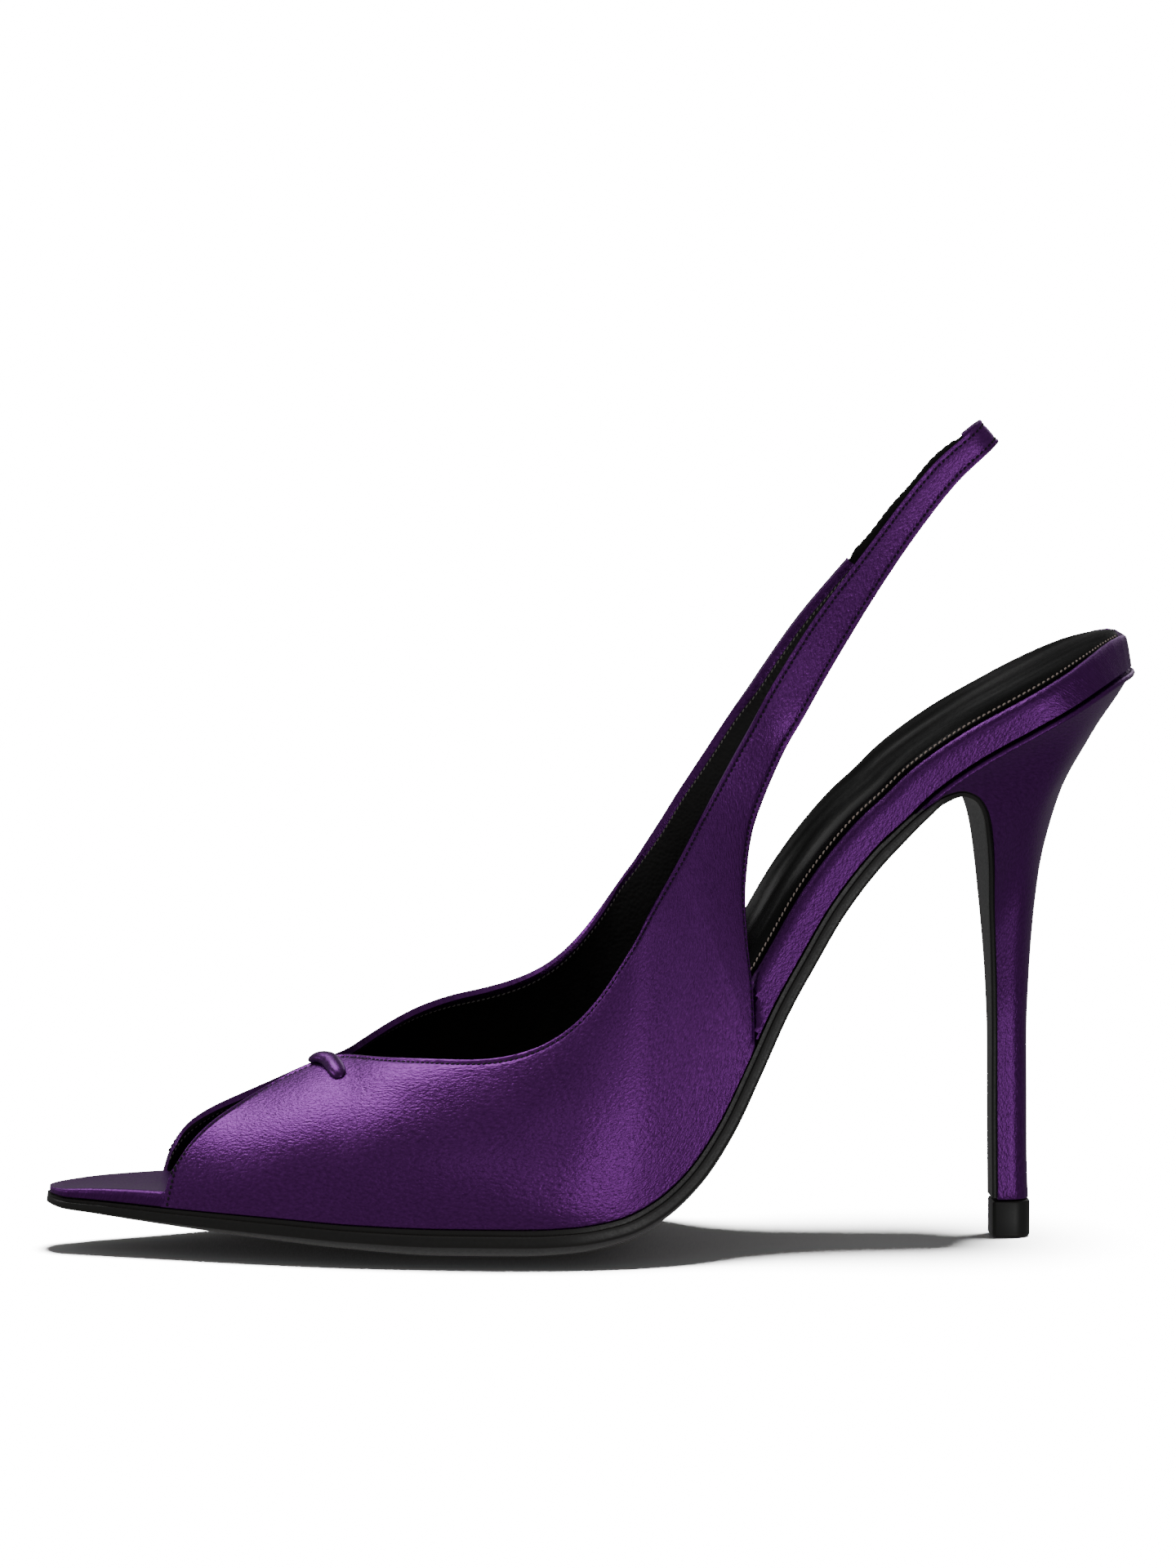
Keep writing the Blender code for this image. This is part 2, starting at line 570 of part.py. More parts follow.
def between(rungs, front, back):
    """Rungs whose middle lies between two shares of TOE_REACH."""
    mid = [0.5 * (r[0][0] + r[-1][0]) / -TOE_REACH for r in rungs]
    return [r for r, m in zip(rungs, mid) if front >= m >= back]


def make_upper():
    """Both panels, the sling strap and its loop as one shell, hollow and open where the shoe is."""
    lateral, medial = side_rungs(-1), side_rungs(1)
    loop = loop_rungs(lateral[-1])
    medial_front = between(medial, 1.0, STRAP_SPLIT)
    bm = bmesh.new()

    def strip(rungs):
        rows = [[bm.verts.new(Vector(p)) for p in rung] for rung in rungs]
        for a, b in zip(rows, rows[1:]):
            for i in range(len(a) - 1):
                bm.faces.new((a[i], b[i], b[i + 1], a[i + 1]))

    strip(lateral + loop)
    strip([rung[::-1] for rung in medial_front])
    bmesh.ops.remove_doubles(bm, verts=bm.verts, dist=0.02)
    bmesh.ops.recalc_face_normals(bm, faces=bm.faces)
    outward = sum(f.normal.y * np.sign(f.calc_center_median().y) for f in bm.faces)
    if outward < 0:
        bmesh.ops.reverse_faces(bm, faces=bm.faces)
    inner = {v: bm.verts.new(v.co - v.normal * WALL) for v in list(bm.verts)}
    faces, rims = list(bm.faces), [e for e in bm.edges if e.is_boundary]
    for face in faces:
        bm.faces.new([inner[v] for v in reversed(face.verts)])
    for edge in rims:
        a, b = edge.verts
        bm.faces.new((a, b, inner[b], inner[a]))
    return finish_mesh("upper", bm, ((0.125, 0.018, 0.25), 0.42, 0.0))


def make_elastic():
    """Leather covered elastic between the medial strap and the loop's end."""
    strap_end = between(side_rungs(1), 1.0, STRAP_SPLIT)[-1]
    front = 0.5 * (strap_end[0][0] + strap_end[-1][0]) / -TOE_REACH - 1.5 * GAP / TOE_REACH
    run = between(side_rungs(1, 16), front, ELASTIC_END)[::6]
    rings = []
    for rung in run:
        foot, head = np.array(rung[0]), np.array(rung[-1])
        middle, out = 0.5 * (foot + head), np.array([0.0, 1.0, 0.0])
        ring = []
        for w, d in ((-0.48, 0.0), (0.48, 0.0), (0.48, ELASTIC_THICK), (-0.48, ELASTIC_THICK)):
            ring.append(tuple(middle + (head - foot) * w - out * d))
        rings.append(ring)
    return loft("elastic", rings, ((0.012, 0.012, 0.012), 0.5, 0.0))


def make_knot_band():
    """Small band over the place where the two panels meet."""
    lateral, medial = side_rungs(-1, 4), side_rungs(1, 4)
    meet = 22
    pts = np.array([medial[meet - 1][5], medial[meet][6], lateral[meet + 1][5], lateral[meet + 2][5]])
    pts[2] = 0.5 * (pts[2] + lateral[meet + 1][6])
    rings = []
    for i, p in enumerate(pts):
        d = pts[min(i + 1, len(pts) - 1)] - pts[max(i - 1, 0)]
        d /= np.linalg.norm(d)
        ahead = np.array([1.0, 0.0, 0.33])
        ahead -= d * ahead.dot(d)
        ahead /= np.linalg.norm(ahead)
        up = np.cross(d, ahead)
        up *= np.sign(up[2])
        ring = []
        for w, h in ((-0.5, 0.0), (0.5, 0.0), (0.5, 0.55), (0.3, 0.9), (0.0, 1.0), (-0.3, 0.9), (-0.5, 0.55)):
            ring.append(tuple(p + ahead * w * BAND_WIDTH + up * (GAP + 0.15 + h * BAND_THICK)))
        rings.append(ring)
    return loft("knot_band", rings, ((0.11, 0.016, 0.22), 0.42, 0.0))


def main():
    """Clear the scene and build every piece."""
    for obj in list(bpy.data.objects):
        bpy.data.objects.remove(obj, do_unlink=True)
    make_outsole()
    make_board()
    make_sock()
    make_heel()
    make_top_lift()
    make_upper()
    make_elastic()
    make_knot_band()


main()
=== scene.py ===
"""Looks of a peep toe slingback pump, left shoe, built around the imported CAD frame.

Tables hold shares of the shoe's own sizes. Lengths are millimetres until a mesh is made, and metres
in it.
+Z is up, the toe points along -X, the lateral side is -Y, and the shoe stands on z = 0.
"""

import logging
import math
from dataclasses import dataclass, field
from enum import Enum

import bpy
import numpy as np
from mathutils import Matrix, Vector

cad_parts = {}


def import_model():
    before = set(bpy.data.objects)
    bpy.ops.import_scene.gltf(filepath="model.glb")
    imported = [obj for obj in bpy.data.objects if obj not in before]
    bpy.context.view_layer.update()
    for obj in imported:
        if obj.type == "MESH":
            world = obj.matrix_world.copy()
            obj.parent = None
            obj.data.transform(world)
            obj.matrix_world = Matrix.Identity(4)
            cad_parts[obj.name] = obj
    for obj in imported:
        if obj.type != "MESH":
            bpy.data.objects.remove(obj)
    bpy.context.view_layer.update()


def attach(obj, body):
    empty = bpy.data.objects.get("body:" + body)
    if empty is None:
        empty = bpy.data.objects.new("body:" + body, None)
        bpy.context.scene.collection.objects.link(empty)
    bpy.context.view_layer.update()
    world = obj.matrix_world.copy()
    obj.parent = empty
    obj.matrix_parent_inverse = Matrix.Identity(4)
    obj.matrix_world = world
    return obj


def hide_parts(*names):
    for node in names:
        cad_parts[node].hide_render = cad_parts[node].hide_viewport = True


LOG = logging.getLogger("pump")
MM = 0.001

# Feather line, one row per section from toe tip to seat back. x: share of the toe's reach, z: share of
# the heel's height, lateral, medial and crown: shares of the ball's width, board and sole: shares of
# their thickness
FEATHER = (
    ("x", "z", "lateral", "medial", "crown", "board", "sole"),
    (0.9976, 0.1090, 0.066, 0.066, 0.0006, 0.16, 0.50),
    (0.9795, 0.1048, 0.087, 0.087, 0.0044, 0.26, 0.60),
    (0.9465, 0.1027, 0.128, 0.130, 0.0111, 0.36, 0.68),
    (0.8854, 0.0964, 0.197, 0.195, 0.0205, 0.48, 0.78),
    (0.8323, 0.0920, 0.259, 0.256, 0.0290, 0.52, 0.86),
    (0.7672, 0.0867, 0.329, 0.332, 0.0394, 0.53, 0.92),
    (0.6930, 0.0795, 0.395, 0.408, 0.0500, 0.53, 0.95),
    (0.6027, 0.0755, 0.447, 0.477, 0.0608, 0.53, 1.00),
    (0.5186, 0.0755, 0.479, 0.507, 0.0629, 0.55, 1.00),
    (0.4705, 0.0796, 0.488, 0.499, 0.0621, 0.60, 1.00),
    (0.4234, 0.0937, 0.479, 0.466, 0.0565, 0.68, 0.98),
    (0.3875, 0.1235, 0.460, 0.425, 0.0490, 0.78, 0.95),
    (0.3535, 0.1752, 0.436, 0.384, 0.0405, 0.88, 0.92),
    (0.3216, 0.2563, 0.414, 0.349, 0.0329, 0.96, 0.90),
    (0.2906, 0.3688, 0.392, 0.323, 0.0253, 1.00, 0.90),
    (0.2607, 0.4863, 0.373, 0.308, 0.0186, 1.00, 0.90),
    (0.2347, 0.5712, 0.360, 0.305, 0.0128, 1.00, 0.90),
    (0.1997, 0.6779, 0.345, 0.307, 0.0071, 1.00, 0.90),
    (0.1497, 0.7904, 0.334, 0.312, 0.0000, 1.00, 0.89),
    (0.1257, 0.8304, 0.332, 0.316, 0.0000, 1.00, 0.85),
    (0.0987, 0.8783, 0.331, 0.319, 0.0000, 1.00, 0.80),
    (0.0497, 0.9424, 0.334, 0.329, 0.0000, 1.00, 0.80),
    (-0.0024, 0.9958, 0.337, 0.336, 0.0000, 1.00, 0.80),
    (-0.0454, 1.0383, 0.337, 0.337, 0.0000, 1.00, 0.80),
    (-0.0873, 1.0790, 0.332, 0.332, 0.0000, 0.98, 0.80),
    (-0.1083, 1.0946, 0.326, 0.326, 0.0000, 0.96, 0.80),
    (-0.1233, 1.0995, 0.322, 0.322, 0.0000, 0.95, 0.80),
)

# Sole leather over the arch and down the heel's breast: half is a share of the ball's width, thick of
# the sole's thickness
BREAST = (
    ("x", "z", "half", "thick"),
    (0.1097, 0.8530, 0.324, 0.700),
    (0.0908, 0.8756, 0.315, 0.560),
    (0.0669, 0.8844, 0.290, 0.380),
    (0.0481, 0.8709, 0.257, 0.330),
    (0.0353, 0.8356, 0.222, 0.324),
    (0.0295, 0.7896, 0.189, 0.324),
    (0.0257, 0.7258, 0.160, 0.324),
    (0.0230, 0.6473, 0.118, 0.324),
    (0.0201, 0.5688, 0.091, 0.324),
    (0.0179, 0.4903, 0.073, 0.324),
    (0.0164, 0.3922, 0.058, 0.324),
    (0.0160, 0.2449, 0.054, 0.324),
    (0.0150, 0.0781, 0.053, 0.324),
)

# Heel, one row per level. rise: share of the height from top lift to seat, front and back: shares of
# the toe's reach, half: share of the ball's width
HEEL = (
    ("rise", "front", "back", "half"),
    (0.000, 0.026, -0.0192, 0.0555),
    (0.070, 0.026, -0.0176, 0.0555),
    (0.210, 0.027, -0.0170, 0.0560),
    (0.318, 0.028, -0.0165, 0.0575),
    (0.393, 0.029, -0.0178, 0.0600),
    (0.503, 0.031, -0.0213, 0.0760),
    (0.565, 0.032, -0.0245, 0.0870),
    (0.640, 0.034, -0.0300, 0.1010),
    (0.715, 0.037, -0.0400, 0.1260),
    (0.794, 0.041, -0.0545, 0.1660),
    (0.854, 0.046, -0.0735, 0.1960),
    (0.903, 0.060, -0.0890, 0.2290),
    (0.951, 0.092, -0.1080, 0.2650),
    (0.980, 0.114, -0.1180, 0.3000),
    (1.000, 0.128, -0.1230, 0.3340),
)

# Upper, one row per rung from the feather line or back edge (foot) to the opening or topline (head).
# x: shares of the toe's reach, z: of the instep's rise, y: of the ball's width, arch: how round the
# rung is, lift: what the medial head stands higher, swell: how far the side bulges out
RUNGS = (
    ("foot_x", "foot_z", "foot_y", "head_x", "head_z", "head_y", "arch", "lift", "swell"),
    (0.8845, None, None, 0.8725, 0.1062, 0.186, 0.30, 0.0023, 0.003),
    (0.8700, None, None, 0.8559, 0.1339, 0.155, 0.40, 0.0019, 0.007),
    (0.8511, None, None, 0.8299, 0.1605, 0.105, 0.50, 0.0012, 0.014),
    (0.8245, None, None, 0.7948, 0.1834, 0.050, 0.60, 0.0006, 0.023),
    (0.7926, None, None, 0.7608, 0.2036, 0.013, 0.66, 0.0001, 0.033),
    (0.7580, None, None, 0.7353, 0.2180, 0.000, 0.70, 0.0000, 0.038),
    (0.7261, None, None, 0.6991, 0.2331, 0.000, 0.70, 0.0000, 0.041),
    (0.6888, None, None, 0.6622, 0.2370, 0.123, 0.66, 0.0122, 0.041),
    (0.6489, None, None, 0.6126, 0.2409, 0.233, 0.58, 0.0333, 0.038),
    (0.6064, None, None, 0.5592, 0.2437, 0.315, 0.48, 0.0442, 0.036),
    (0.5638, None, None, 0.5111, 0.2574, 0.364, 0.42, 0.0402, 0.034),
    (0.5213, None, None, 0.4739, 0.2824, 0.384, 0.40, 0.0323, 0.033),
    (0.4787, None, None, 0.4445, 0.3167, 0.386, 0.38, 0.0254, 0.032),
    (0.4388, None, None, 0.4211, 0.3562, 0.381, 0.36, 0.0190, 0.030),
    (0.4016, None, None, 0.4020, 0.3919, 0.376, 0.34, 0.0154, 0.029),
    (0.3670, None, None, 0.3881, 0.4214, 0.363, 0.32, 0.0103, 0.027),
    (0.3378, None, None, 0.3771, 0.4440, 0.348, 0.30, 0.0069, 0.026),
    (0.3085, None, None, 0.3680, 0.4622, 0.338, 0.28, 0.0067, 0.023),
    (0.2810, None, None, 0.3595, 0.4792, 0.325, 0.25, 0.0064, 0.019),
    (0.2838, 0.3216, 0.375, 0.3499, 0.4986, 0.311, 0.22, 0.0062, 0.014),
    (0.2881, 0.3780, 0.343, 0.3415, 0.5162, 0.299, 0.18, 0.0060, 0.010),
    (0.2898, 0.4281, 0.312, 0.3330, 0.5338, 0.288, 0.14, 0.0057, 0.005),
    (0.2862, 0.4720, 0.280, 0.3256, 0.5482, 0.277, 0.10, 0.0054, 0.003),
    (0.2804, 0.5096, 0.253, 0.3187, 0.5620, 0.267, 0.08, 0.0052, 0.001),
    (0.2688, 0.5460, 0.229, 0.3097, 0.5795, 0.255, 0.06, 0.0050, 0.000),
    (0.2540, 0.5836, 0.205, 0.2960, 0.6065, 0.238, 0.04, 0.0046, 0.000),
    (0.2402, 0.6149, 0.188, 0.2811, 0.6353, 0.219, 0.02, 0.0042, 0.000),
)

# Sling strap from the last rung to the loop. x, z and y as above, of its middle line, wide in mm
STRAP = (
    ("x", "z", "y", "wide"),
    (0.2461, 0.6549, 0.190, 8.5),
    (0.2276, 0.6905, 0.172, 8.3),
    (0.2100, 0.7231, 0.155, 8.1),
    (0.1920, 0.7539, 0.136, 7.8),
    (0.1746, 0.7821, 0.117, 7.3),
    (0.1396, 0.8366, 0.084, 6.4),
    (0.1051, 0.8891, 0.060, 6.1),
    (0.0706, 0.9373, 0.049, 5.9),
    (0.0428, 0.9659, 0.048, 5.5),
)

# Distances in mm from a folded edge at which its shape is set, with the places of the fold's crest
# and of the stitches among them
EDGE_STEPS = (0.0, 0.45, 1.0, 1.45, 2.0, 2.7)
CREST_STEP = 1
STITCH_STEP = 2


class Side(Enum):
    """Side of the left shoe; its value is the sign of y."""

    LATERAL = -1
    MEDIAL = 1

    @classmethod
    def of(cls, y: float) -> "Side":
        """The side on which y lies, the medial one for 0."""
        return cls.LATERAL if y < 0 else cls.MEDIAL


def smooth(at: np.ndarray, keys: np.ndarray, values: np.ndarray) -> np.ndarray:
    """Reads a cubic curve through rows of a table that never overshoots them.

    Args:
        at: Places to read.
        keys: Rising places of the rows.
        values: Values of the rows.

    Returns:
        The values at those places.
    """
    keys, values = np.asarray(keys, float), np.asarray(values, float)
    span = np.diff(keys)
    slope = np.diff(values) / span
    tangent = np.empty(len(keys))
    tangent[0], tangent[-1] = slope[0], slope[-1]
    for i in range(1, len(keys) - 1):
        a, b = slope[i - 1], slope[i]
        if a * b <= 0:
            tangent[i] = 0.0
            continue
        wa, wb = 2 * span[i] + span[i - 1], span[i] + 2 * span[i - 1]
        tangent[i] = (wa + wb) / (wa / a + wb / b)
    at = np.clip(np.asarray(at, float), keys[0], keys[-1])
    i = np.clip(np.searchsorted(keys, at, side="right") - 1, 0, len(span) - 1)
    h = span[i]
    t = (at - keys[i]) / h
    return (
        values[i] * (2 * t**3 - 3 * t**2 + 1)
        + h * tangent[i] * (t**3 - 2 * t**2 + t)
        + values[i + 1] * (3 * t**2 - 2 * t**3)
        + h * tangent[i + 1] * (t**3 - t**2)
    )


def column(table: tuple, name: str) -> list:
    """Reads one named column of a table, without its heading row."""
    place = table[0].index(name)
    return [row[place] for row in table[1:]]


def walk(points: np.ndarray) -> np.ndarray:
    """Distance walked along a line at each of its points."""
    return np.concatenate([[0.0], np.cumsum(np.linalg.norm(np.diff(points, axis=0), axis=1))])


def walk_in(points: np.ndarray) -> np.ndarray:
    """Distance from each rung's foot, as an array like the points."""
    return np.array([walk(r) for r in points])


def walk_out(points: np.ndarray) -> np.ndarray:
    """Distance from each rung's head, as an array like the points."""
    return np.array([walk(r[::-1])[::-1] for r in points])


def read_at(at: np.ndarray, s: np.ndarray, values: np.ndarray) -> np.ndarray:
    """Rows of values, known at s, read between them at other places."""
    return np.stack([np.interp(at, s, values[:, c]) for c in range(values.shape[1])], axis=1)


def even(points: np.ndarray, count: int) -> np.ndarray:
    """The same line with a number of points an even distance apart."""
    s = walk(points)
    return read_at(np.linspace(0.0, s[-1], count), s, points)


def relax(points: np.ndarray, passes: int) -> np.ndarray:
    """Takes the small kinks out of rows of points, along the rows' order, with both ends held."""
    out = points.copy()
    for _ in range(passes):
        out[1:-1] = 0.25 * out[:-2] + 0.5 * out[1:-1] + 0.25 * out[2:]
    return out


def spread(points: np.ndarray, count: int) -> np.ndarray:
    """The same line with fixed short steps at both ends, for a folded and stitched edge.

    Args:
        points: Points of the line, in mm.
        count: Number of points wanted.

    Returns:
        The new points.
    """
    s = walk(points)
    near = np.array(EDGE_STEPS) * min(1.0, s[-1] / (2.2 * EDGE_STEPS[-1]))
    middle = np.linspace(near[-1], s[-1] - near[-1], count - 2 * len(near) + 2)[1:-1]
    at = np.concatenate([near, middle, s[-1] - near[::-1]])
    return read_at(at, s, points)


def fair(points: np.ndarray, reach: float, every: int = 3) -> np.ndarray:
    """Sideways places of points evened out by local planes fitted in side view.

    Args:
        points: Array rows x columns x 3.
        reach: Distance over which points count, in mm.
        every: Columns between those that are fitted.

    Returns:
        New y of every point.
    """
    known = points[:, ::every].reshape(-1, 3)
    out = []
    for row in points:
        dx, dz = (known[None, :, c] - row[:, None, c] for c in (0, 2))
        weight = np.exp(-(dx**2 + dz**2) / reach**2)
        terms = np.stack([np.ones_like(dx), dx, dz], axis=-1)
        left = np.einsum("ij,ija,ijb->iab", weight, terms, terms) + 1e-6 * np.eye(3)
        right = np.einsum("ij,ija,j->ia", weight, terms, known[:, 1])
        out.append(np.linalg.solve(left, right[..., None])[:, 0, 0])
    return np.array(out)


def unit(vectors: np.ndarray) -> np.ndarray:
    """Vectors of length one."""
    return vectors / np.maximum(np.linalg.norm(vectors, axis=-1, keepdims=True), 1e-9)


@dataclass(frozen=True)
class Sizes:
    """Driving sizes of the shoe, in mm, and where its pieces start and stop as shares of toe_reach."""

    toe_reach: float = 188.0
    heel_height: float = 101.5
    ball_width: float = 73.0
    instep_rise: float = 160.0
    wall: float = 1.4
    gap: float = 0.3
    tread_thick: float = 3.4
    board_thick: float = 6.0
    sock_thick: float = 1.5
    sock_inset: float = 1.55
    welt: float = 0.5
    seat_round: float = 22.0
    toe_round: float = 3.6
    lift_height: float = 7.3
    vamp_front: float = 0.886
    quarter_back: float = 0.281
    sock_front: float = 0.815
    step: float = 0.007
    step_lean: float = 2.1
    sole_leaves: float = 0.152
    tread_flat: float = 0.3
    strap_split: float = 0.150


@dataclass
class FeatherLine:
    """The line where upper and sole meet, and everything that is measured along it."""

    sizes: Sizes = field(default_factory=Sizes)
    top_hang: float = 0.4

    def __post_init__(self) -> None:
        """Lays the table out in mm."""
        self.x = -self.sizes.toe_reach * np.array(column(FEATHER, "x"))
        self.z = self.sizes.heel_height * np.array(column(FEATHER, "z"))
        self.s = walk(np.stack([self.x, self.z], axis=1))
        self.end = float(self.s[-1])

    def at(self, share: float) -> float:
        """Walked distance at a share of the toe's reach."""
        return float(np.interp(-self.sizes.toe_reach * share, self.x, self.s))

    def value(self, name: str, s: np.ndarray, of: float) -> np.ndarray:
        """A table column at s, in mm."""
        return of * smooth(s, self.s, column(FEATHER, name))

    def point(self, s: np.ndarray) -> np.ndarray:
        """Places of the line at s, each (x, z)."""
        return np.stack([smooth(s, self.s, self.x), smooth(s, self.s, self.z)], axis=-1)

    def normal(self, s: np.ndarray) -> np.ndarray:
        """Upward normals of the line at s, each (x, z)."""
        step = 0.4
        d = self.point(np.minimum(s + step, self.end)) - self.point(np.maximum(s - step, 0.0))
        return unit(np.stack([-d[..., 1], d[..., 0]], axis=-1))

    def half(self, s: np.ndarray, side: Side, inset: float = 0.0) -> np.ndarray:
        """Half width of the outline at s on a side, rounded off at both ends.

        Args:
            s: Walked distances.
            side: Side of the shoe.
            inset: How far in from the outline.

        Returns:
            Half widths in mm.
        """
        full = self.value(side.name.lower(), s, self.sizes.ball_width) - inset
        ends = ((s - inset, self.sizes.toe_round), (self.end - inset - s, self.sizes.seat_round))
        for reach, rounding in ends:
            part = np.clip(reach / rounding, 0.0, 1.0)
            full = full * np.sqrt(1.0 - (1.0 - part) ** 2)
        return full

    def dip(self, s: np.ndarray, y: np.ndarray) -> np.ndarray:
        """How far the crowned bottom hangs below its edges at y from the middle."""
        wide = np.where(y < 0, self.half(s, Side.LATERAL), self.half(s, Side.MEDIAL))
        share = np.minimum(1.0, np.abs(y) / np.maximum(0.1, wide))
        flat = self.sizes.tread_flat
        rim = np.maximum(0.0, (share - flat) / (1.0 - flat)) ** 2
        return self.value("crown", s, self.sizes.ball_width) * (1.0 - rim)

    def hollow(self, s: np.ndarray, w: float) -> np.ndarray:
        """How far the board's top hangs below its edges at s and at a share w of its width."""
        return self.top_hang * (1 - w * w) * self.dip(s, 0.0 * s)

    def place(self, s: np.ndarray, offset: np.ndarray, y: np.ndarray) -> np.ndarray:
        """Points at s, raised along the normal by offset, y from the middle."""
        p, n = self.point(s), self.normal(s)
        s, offset, y = np.broadcast_arrays(s, offset, y)
        x, z = (p[..., c] + offset * n[..., c] for c in range(2))
        return np.stack([x, y + 0.0, z], axis=-1)

    def stations(
        self, start: float, stop: float, pace: float, lead: float = 0.0, trail: float = 0.0
    ) -> np.ndarray:
        """Places along the line, closer together where an end rounds off.

        Args:
            start: First place.
            stop: Last place.
            pace: Distance between places.
            lead: Length over which the start rounds off.
            trail: Length over which the stop rounds off.

        Returns:
            Rising distances.
        """
        turn = 1 - np.cos(np.radians(np.linspace(8, 80, 10)))
        middle = np.arange(start + lead, stop - trail + 0.1, pace)
        front = start + lead * turn if lead else []
        back = stop - trail * turn[::-1] if trail else []
        return np.concatenate([front, middle, back])


class Bench:
    """Modelling by hand, one object at a time."""

    @staticmethod
    def select(obj: bpy.types.Object) -> None:
        """Makes one object the only selected and active one."""
        bpy.ops.object.select_all(action="DESELECT")
        obj.select_set(True)
        bpy.context.view_layer.objects.active = obj

    @staticmethod
    def sheet(
        name: str, points: np.ndarray, closed: bool = False, caps: bool = False
    ) -> bpy.types.Object:
        """Lays a grid primitive over rows of points, with a UV map in millimetres.

        Args:
            name: Name of the object.
            points: Array rows x columns x 3, in mm. A closed sheet's last column is its first again.
            closed: Joins the last column to the first.
            caps: Fills the open ends of a closed sheet.

        Returns:
            The object.
        """
        rows, cols = points.shape[:2]
        bpy.ops.object.select_all(action="DESELECT")
        bpy.ops.mesh.primitive_grid_add(x_subdivisions=cols - 1, y_subdivisions=rows - 1, size=0.1)
        obj = bpy.context.object
        obj.name = obj.data.name = name
        mesh = obj.data
        mesh.vertices.foreach_set("co", (points.reshape(-1, 3) * MM).astype(np.float32).ravel())
        along = np.array([walk(points[:, c]) for c in range(cols)]).T.mean(axis=1)
        across = np.array([walk(points[r]) for r in range(rows)])
        uv = np.stack([np.repeat(along[:, None], cols, axis=1), across], axis=-1).reshape(-1, 2)
        layer = mesh.uv_layers.active or mesh.uv_layers.new()
        layer.name = "cut"
        index = np.zeros(len(mesh.loops), np.int32)
        mesh.loops.foreach_get("vertex_index", index)
        layer.data.foreach_set("uv", uv[index].astype(np.float32).ravel())
        mesh.update()
        if closed:
            Bench.close(obj, caps)
        return obj

    @staticmethod
    def close(obj: bpy.types.Object, caps: bool) -> None:
        """Merges the seam of a rolled sheet, fills its ends and turns its faces outwards."""
        Bench.select(obj)
        bpy.ops.object.mode_set(mode="EDIT")
        bpy.ops.mesh.select_all(action="SELECT")
        bpy.ops.mesh.remove_doubles(threshold=1e-6)
        if caps:
            bpy.ops.mesh.select_all(action="DESELECT")
            bpy.ops.mesh.select_non_manifold()
            bpy.ops.mesh.fill_holes(sides=0)
        bpy.ops.mesh.select_all(action="SELECT")
        bpy.ops.mesh.normals_make_consistent(inside=False)
        bpy.ops.object.mode_set(mode="OBJECT")

    @staticmethod
    def apply(obj: bpy.types.Object, kind: str, **settings: object) -> None:
        """Adds one modifier with its settings and applies it."""
        Bench.select(obj)
        modifier = obj.modifiers.new(kind.lower(), kind)
        for key, value in settings.items():
            setattr(modifier, key, value)
        bpy.ops.object.modifier_apply(modifier=modifier.name)

    @staticmethod
    def bevel(obj: bpy.types.Object, width: float, segments: int) -> None:
        """Rounds the edges that turn by more than 50 degrees, width in mm."""
        least = math.radians(50)
        Bench.apply(
            obj, "BEVEL", width=width * MM, segments=segments, limit_method="ANGLE", angle_limit=least
        )

    @staticmethod
    def turn_out(obj: bpy.types.Object) -> None:
        """Turns every face of an open sheet the other way."""
        Bench.select(obj)
        bpy.ops.object.mode_set(mode="EDIT")
        bpy.ops.mesh.select_all(action="SELECT")
        bpy.ops.mesh.flip_normals()
        bpy.ops.object.mode_set(mode="OBJECT")

    @staticmethod
    def finish(obj: bpy.types.Object, angle: float) -> None:
        """Shades an object smooth except over sharp edges."""
        Bench.select(obj)
        bpy.ops.object.shade_smooth_by_angle(angle=math.radians(angle))

    @staticmethod
    def solid(name: str, points: np.ndarray, angle: float) -> bpy.types.Object:
        """Lays a closed sheet with filled ends and shades it, sharp over edges past angle degrees."""
        obj = Bench.sheet(name, points, closed=True, caps=True)
        Bench.finish(obj, angle)
        return obj

    @staticmethod
    def tube(
        path: np.ndarray, up: np.ndarray, wide: np.ndarray, high: np.ndarray, count: int
    ) -> np.ndarray:
        """Sections of an oval tube along a path, for a closed sheet.

        Args:
            path: Points of its middle line, in mm.
            up: Direction at each point that its height follows.
            wide: Half width at each point.
            high: Half height at each point.
            count: Points round a section.

        Returns:
            Array rows x columns x 3.
        """
        ahead = unit(np.gradient(path, axis=0))
        across = unit(np.cross(ahead, up))
        rise = np.cross(across, ahead)
        turn = np.linspace(0, 2 * np.pi, count + 1)
        return (
            path[:, None]
            + across[:, None] * np.cos(turn)[None, :, None] * np.asarray(wide)[:, None, None]
            + rise[:, None] * np.sin(turn)[None, :, None] * np.asarray(high)[:, None, None]
        )


class Term:
    """A value in a material, with arithmetic that adds Math nodes."""

    def __init__(self, graph: "Graph", socket: bpy.types.NodeSocket) -> None:
        """Wraps one output socket."""
        self.graph, self.socket = graph, socket

    def math(self, operation: str, *others: object) -> "Term":
        """Adds one Math node to this value."""
        values = dict(enumerate((self, *others)))
        node = self.graph.node("ShaderNodeMath", {"operation": operation}, values)
        return Term(self.graph, node.outputs[0])

    def __add__(self, other: object) -> "Term":
        """Sum."""
        return self.math("ADD", other)

    __radd__ = __add__

    def __mul__(self, other: object) -> "Term":
        """Product."""
        return self.math("MULTIPLY", other)

    __rmul__ = __mul__

    def __sub__(self, other: object) -> "Term":
        """Difference."""
        return self.math("SUBTRACT", other)

    def __rsub__(self, other: object) -> "Term":
        """Difference from a number."""
        return (self * -1.0) + other


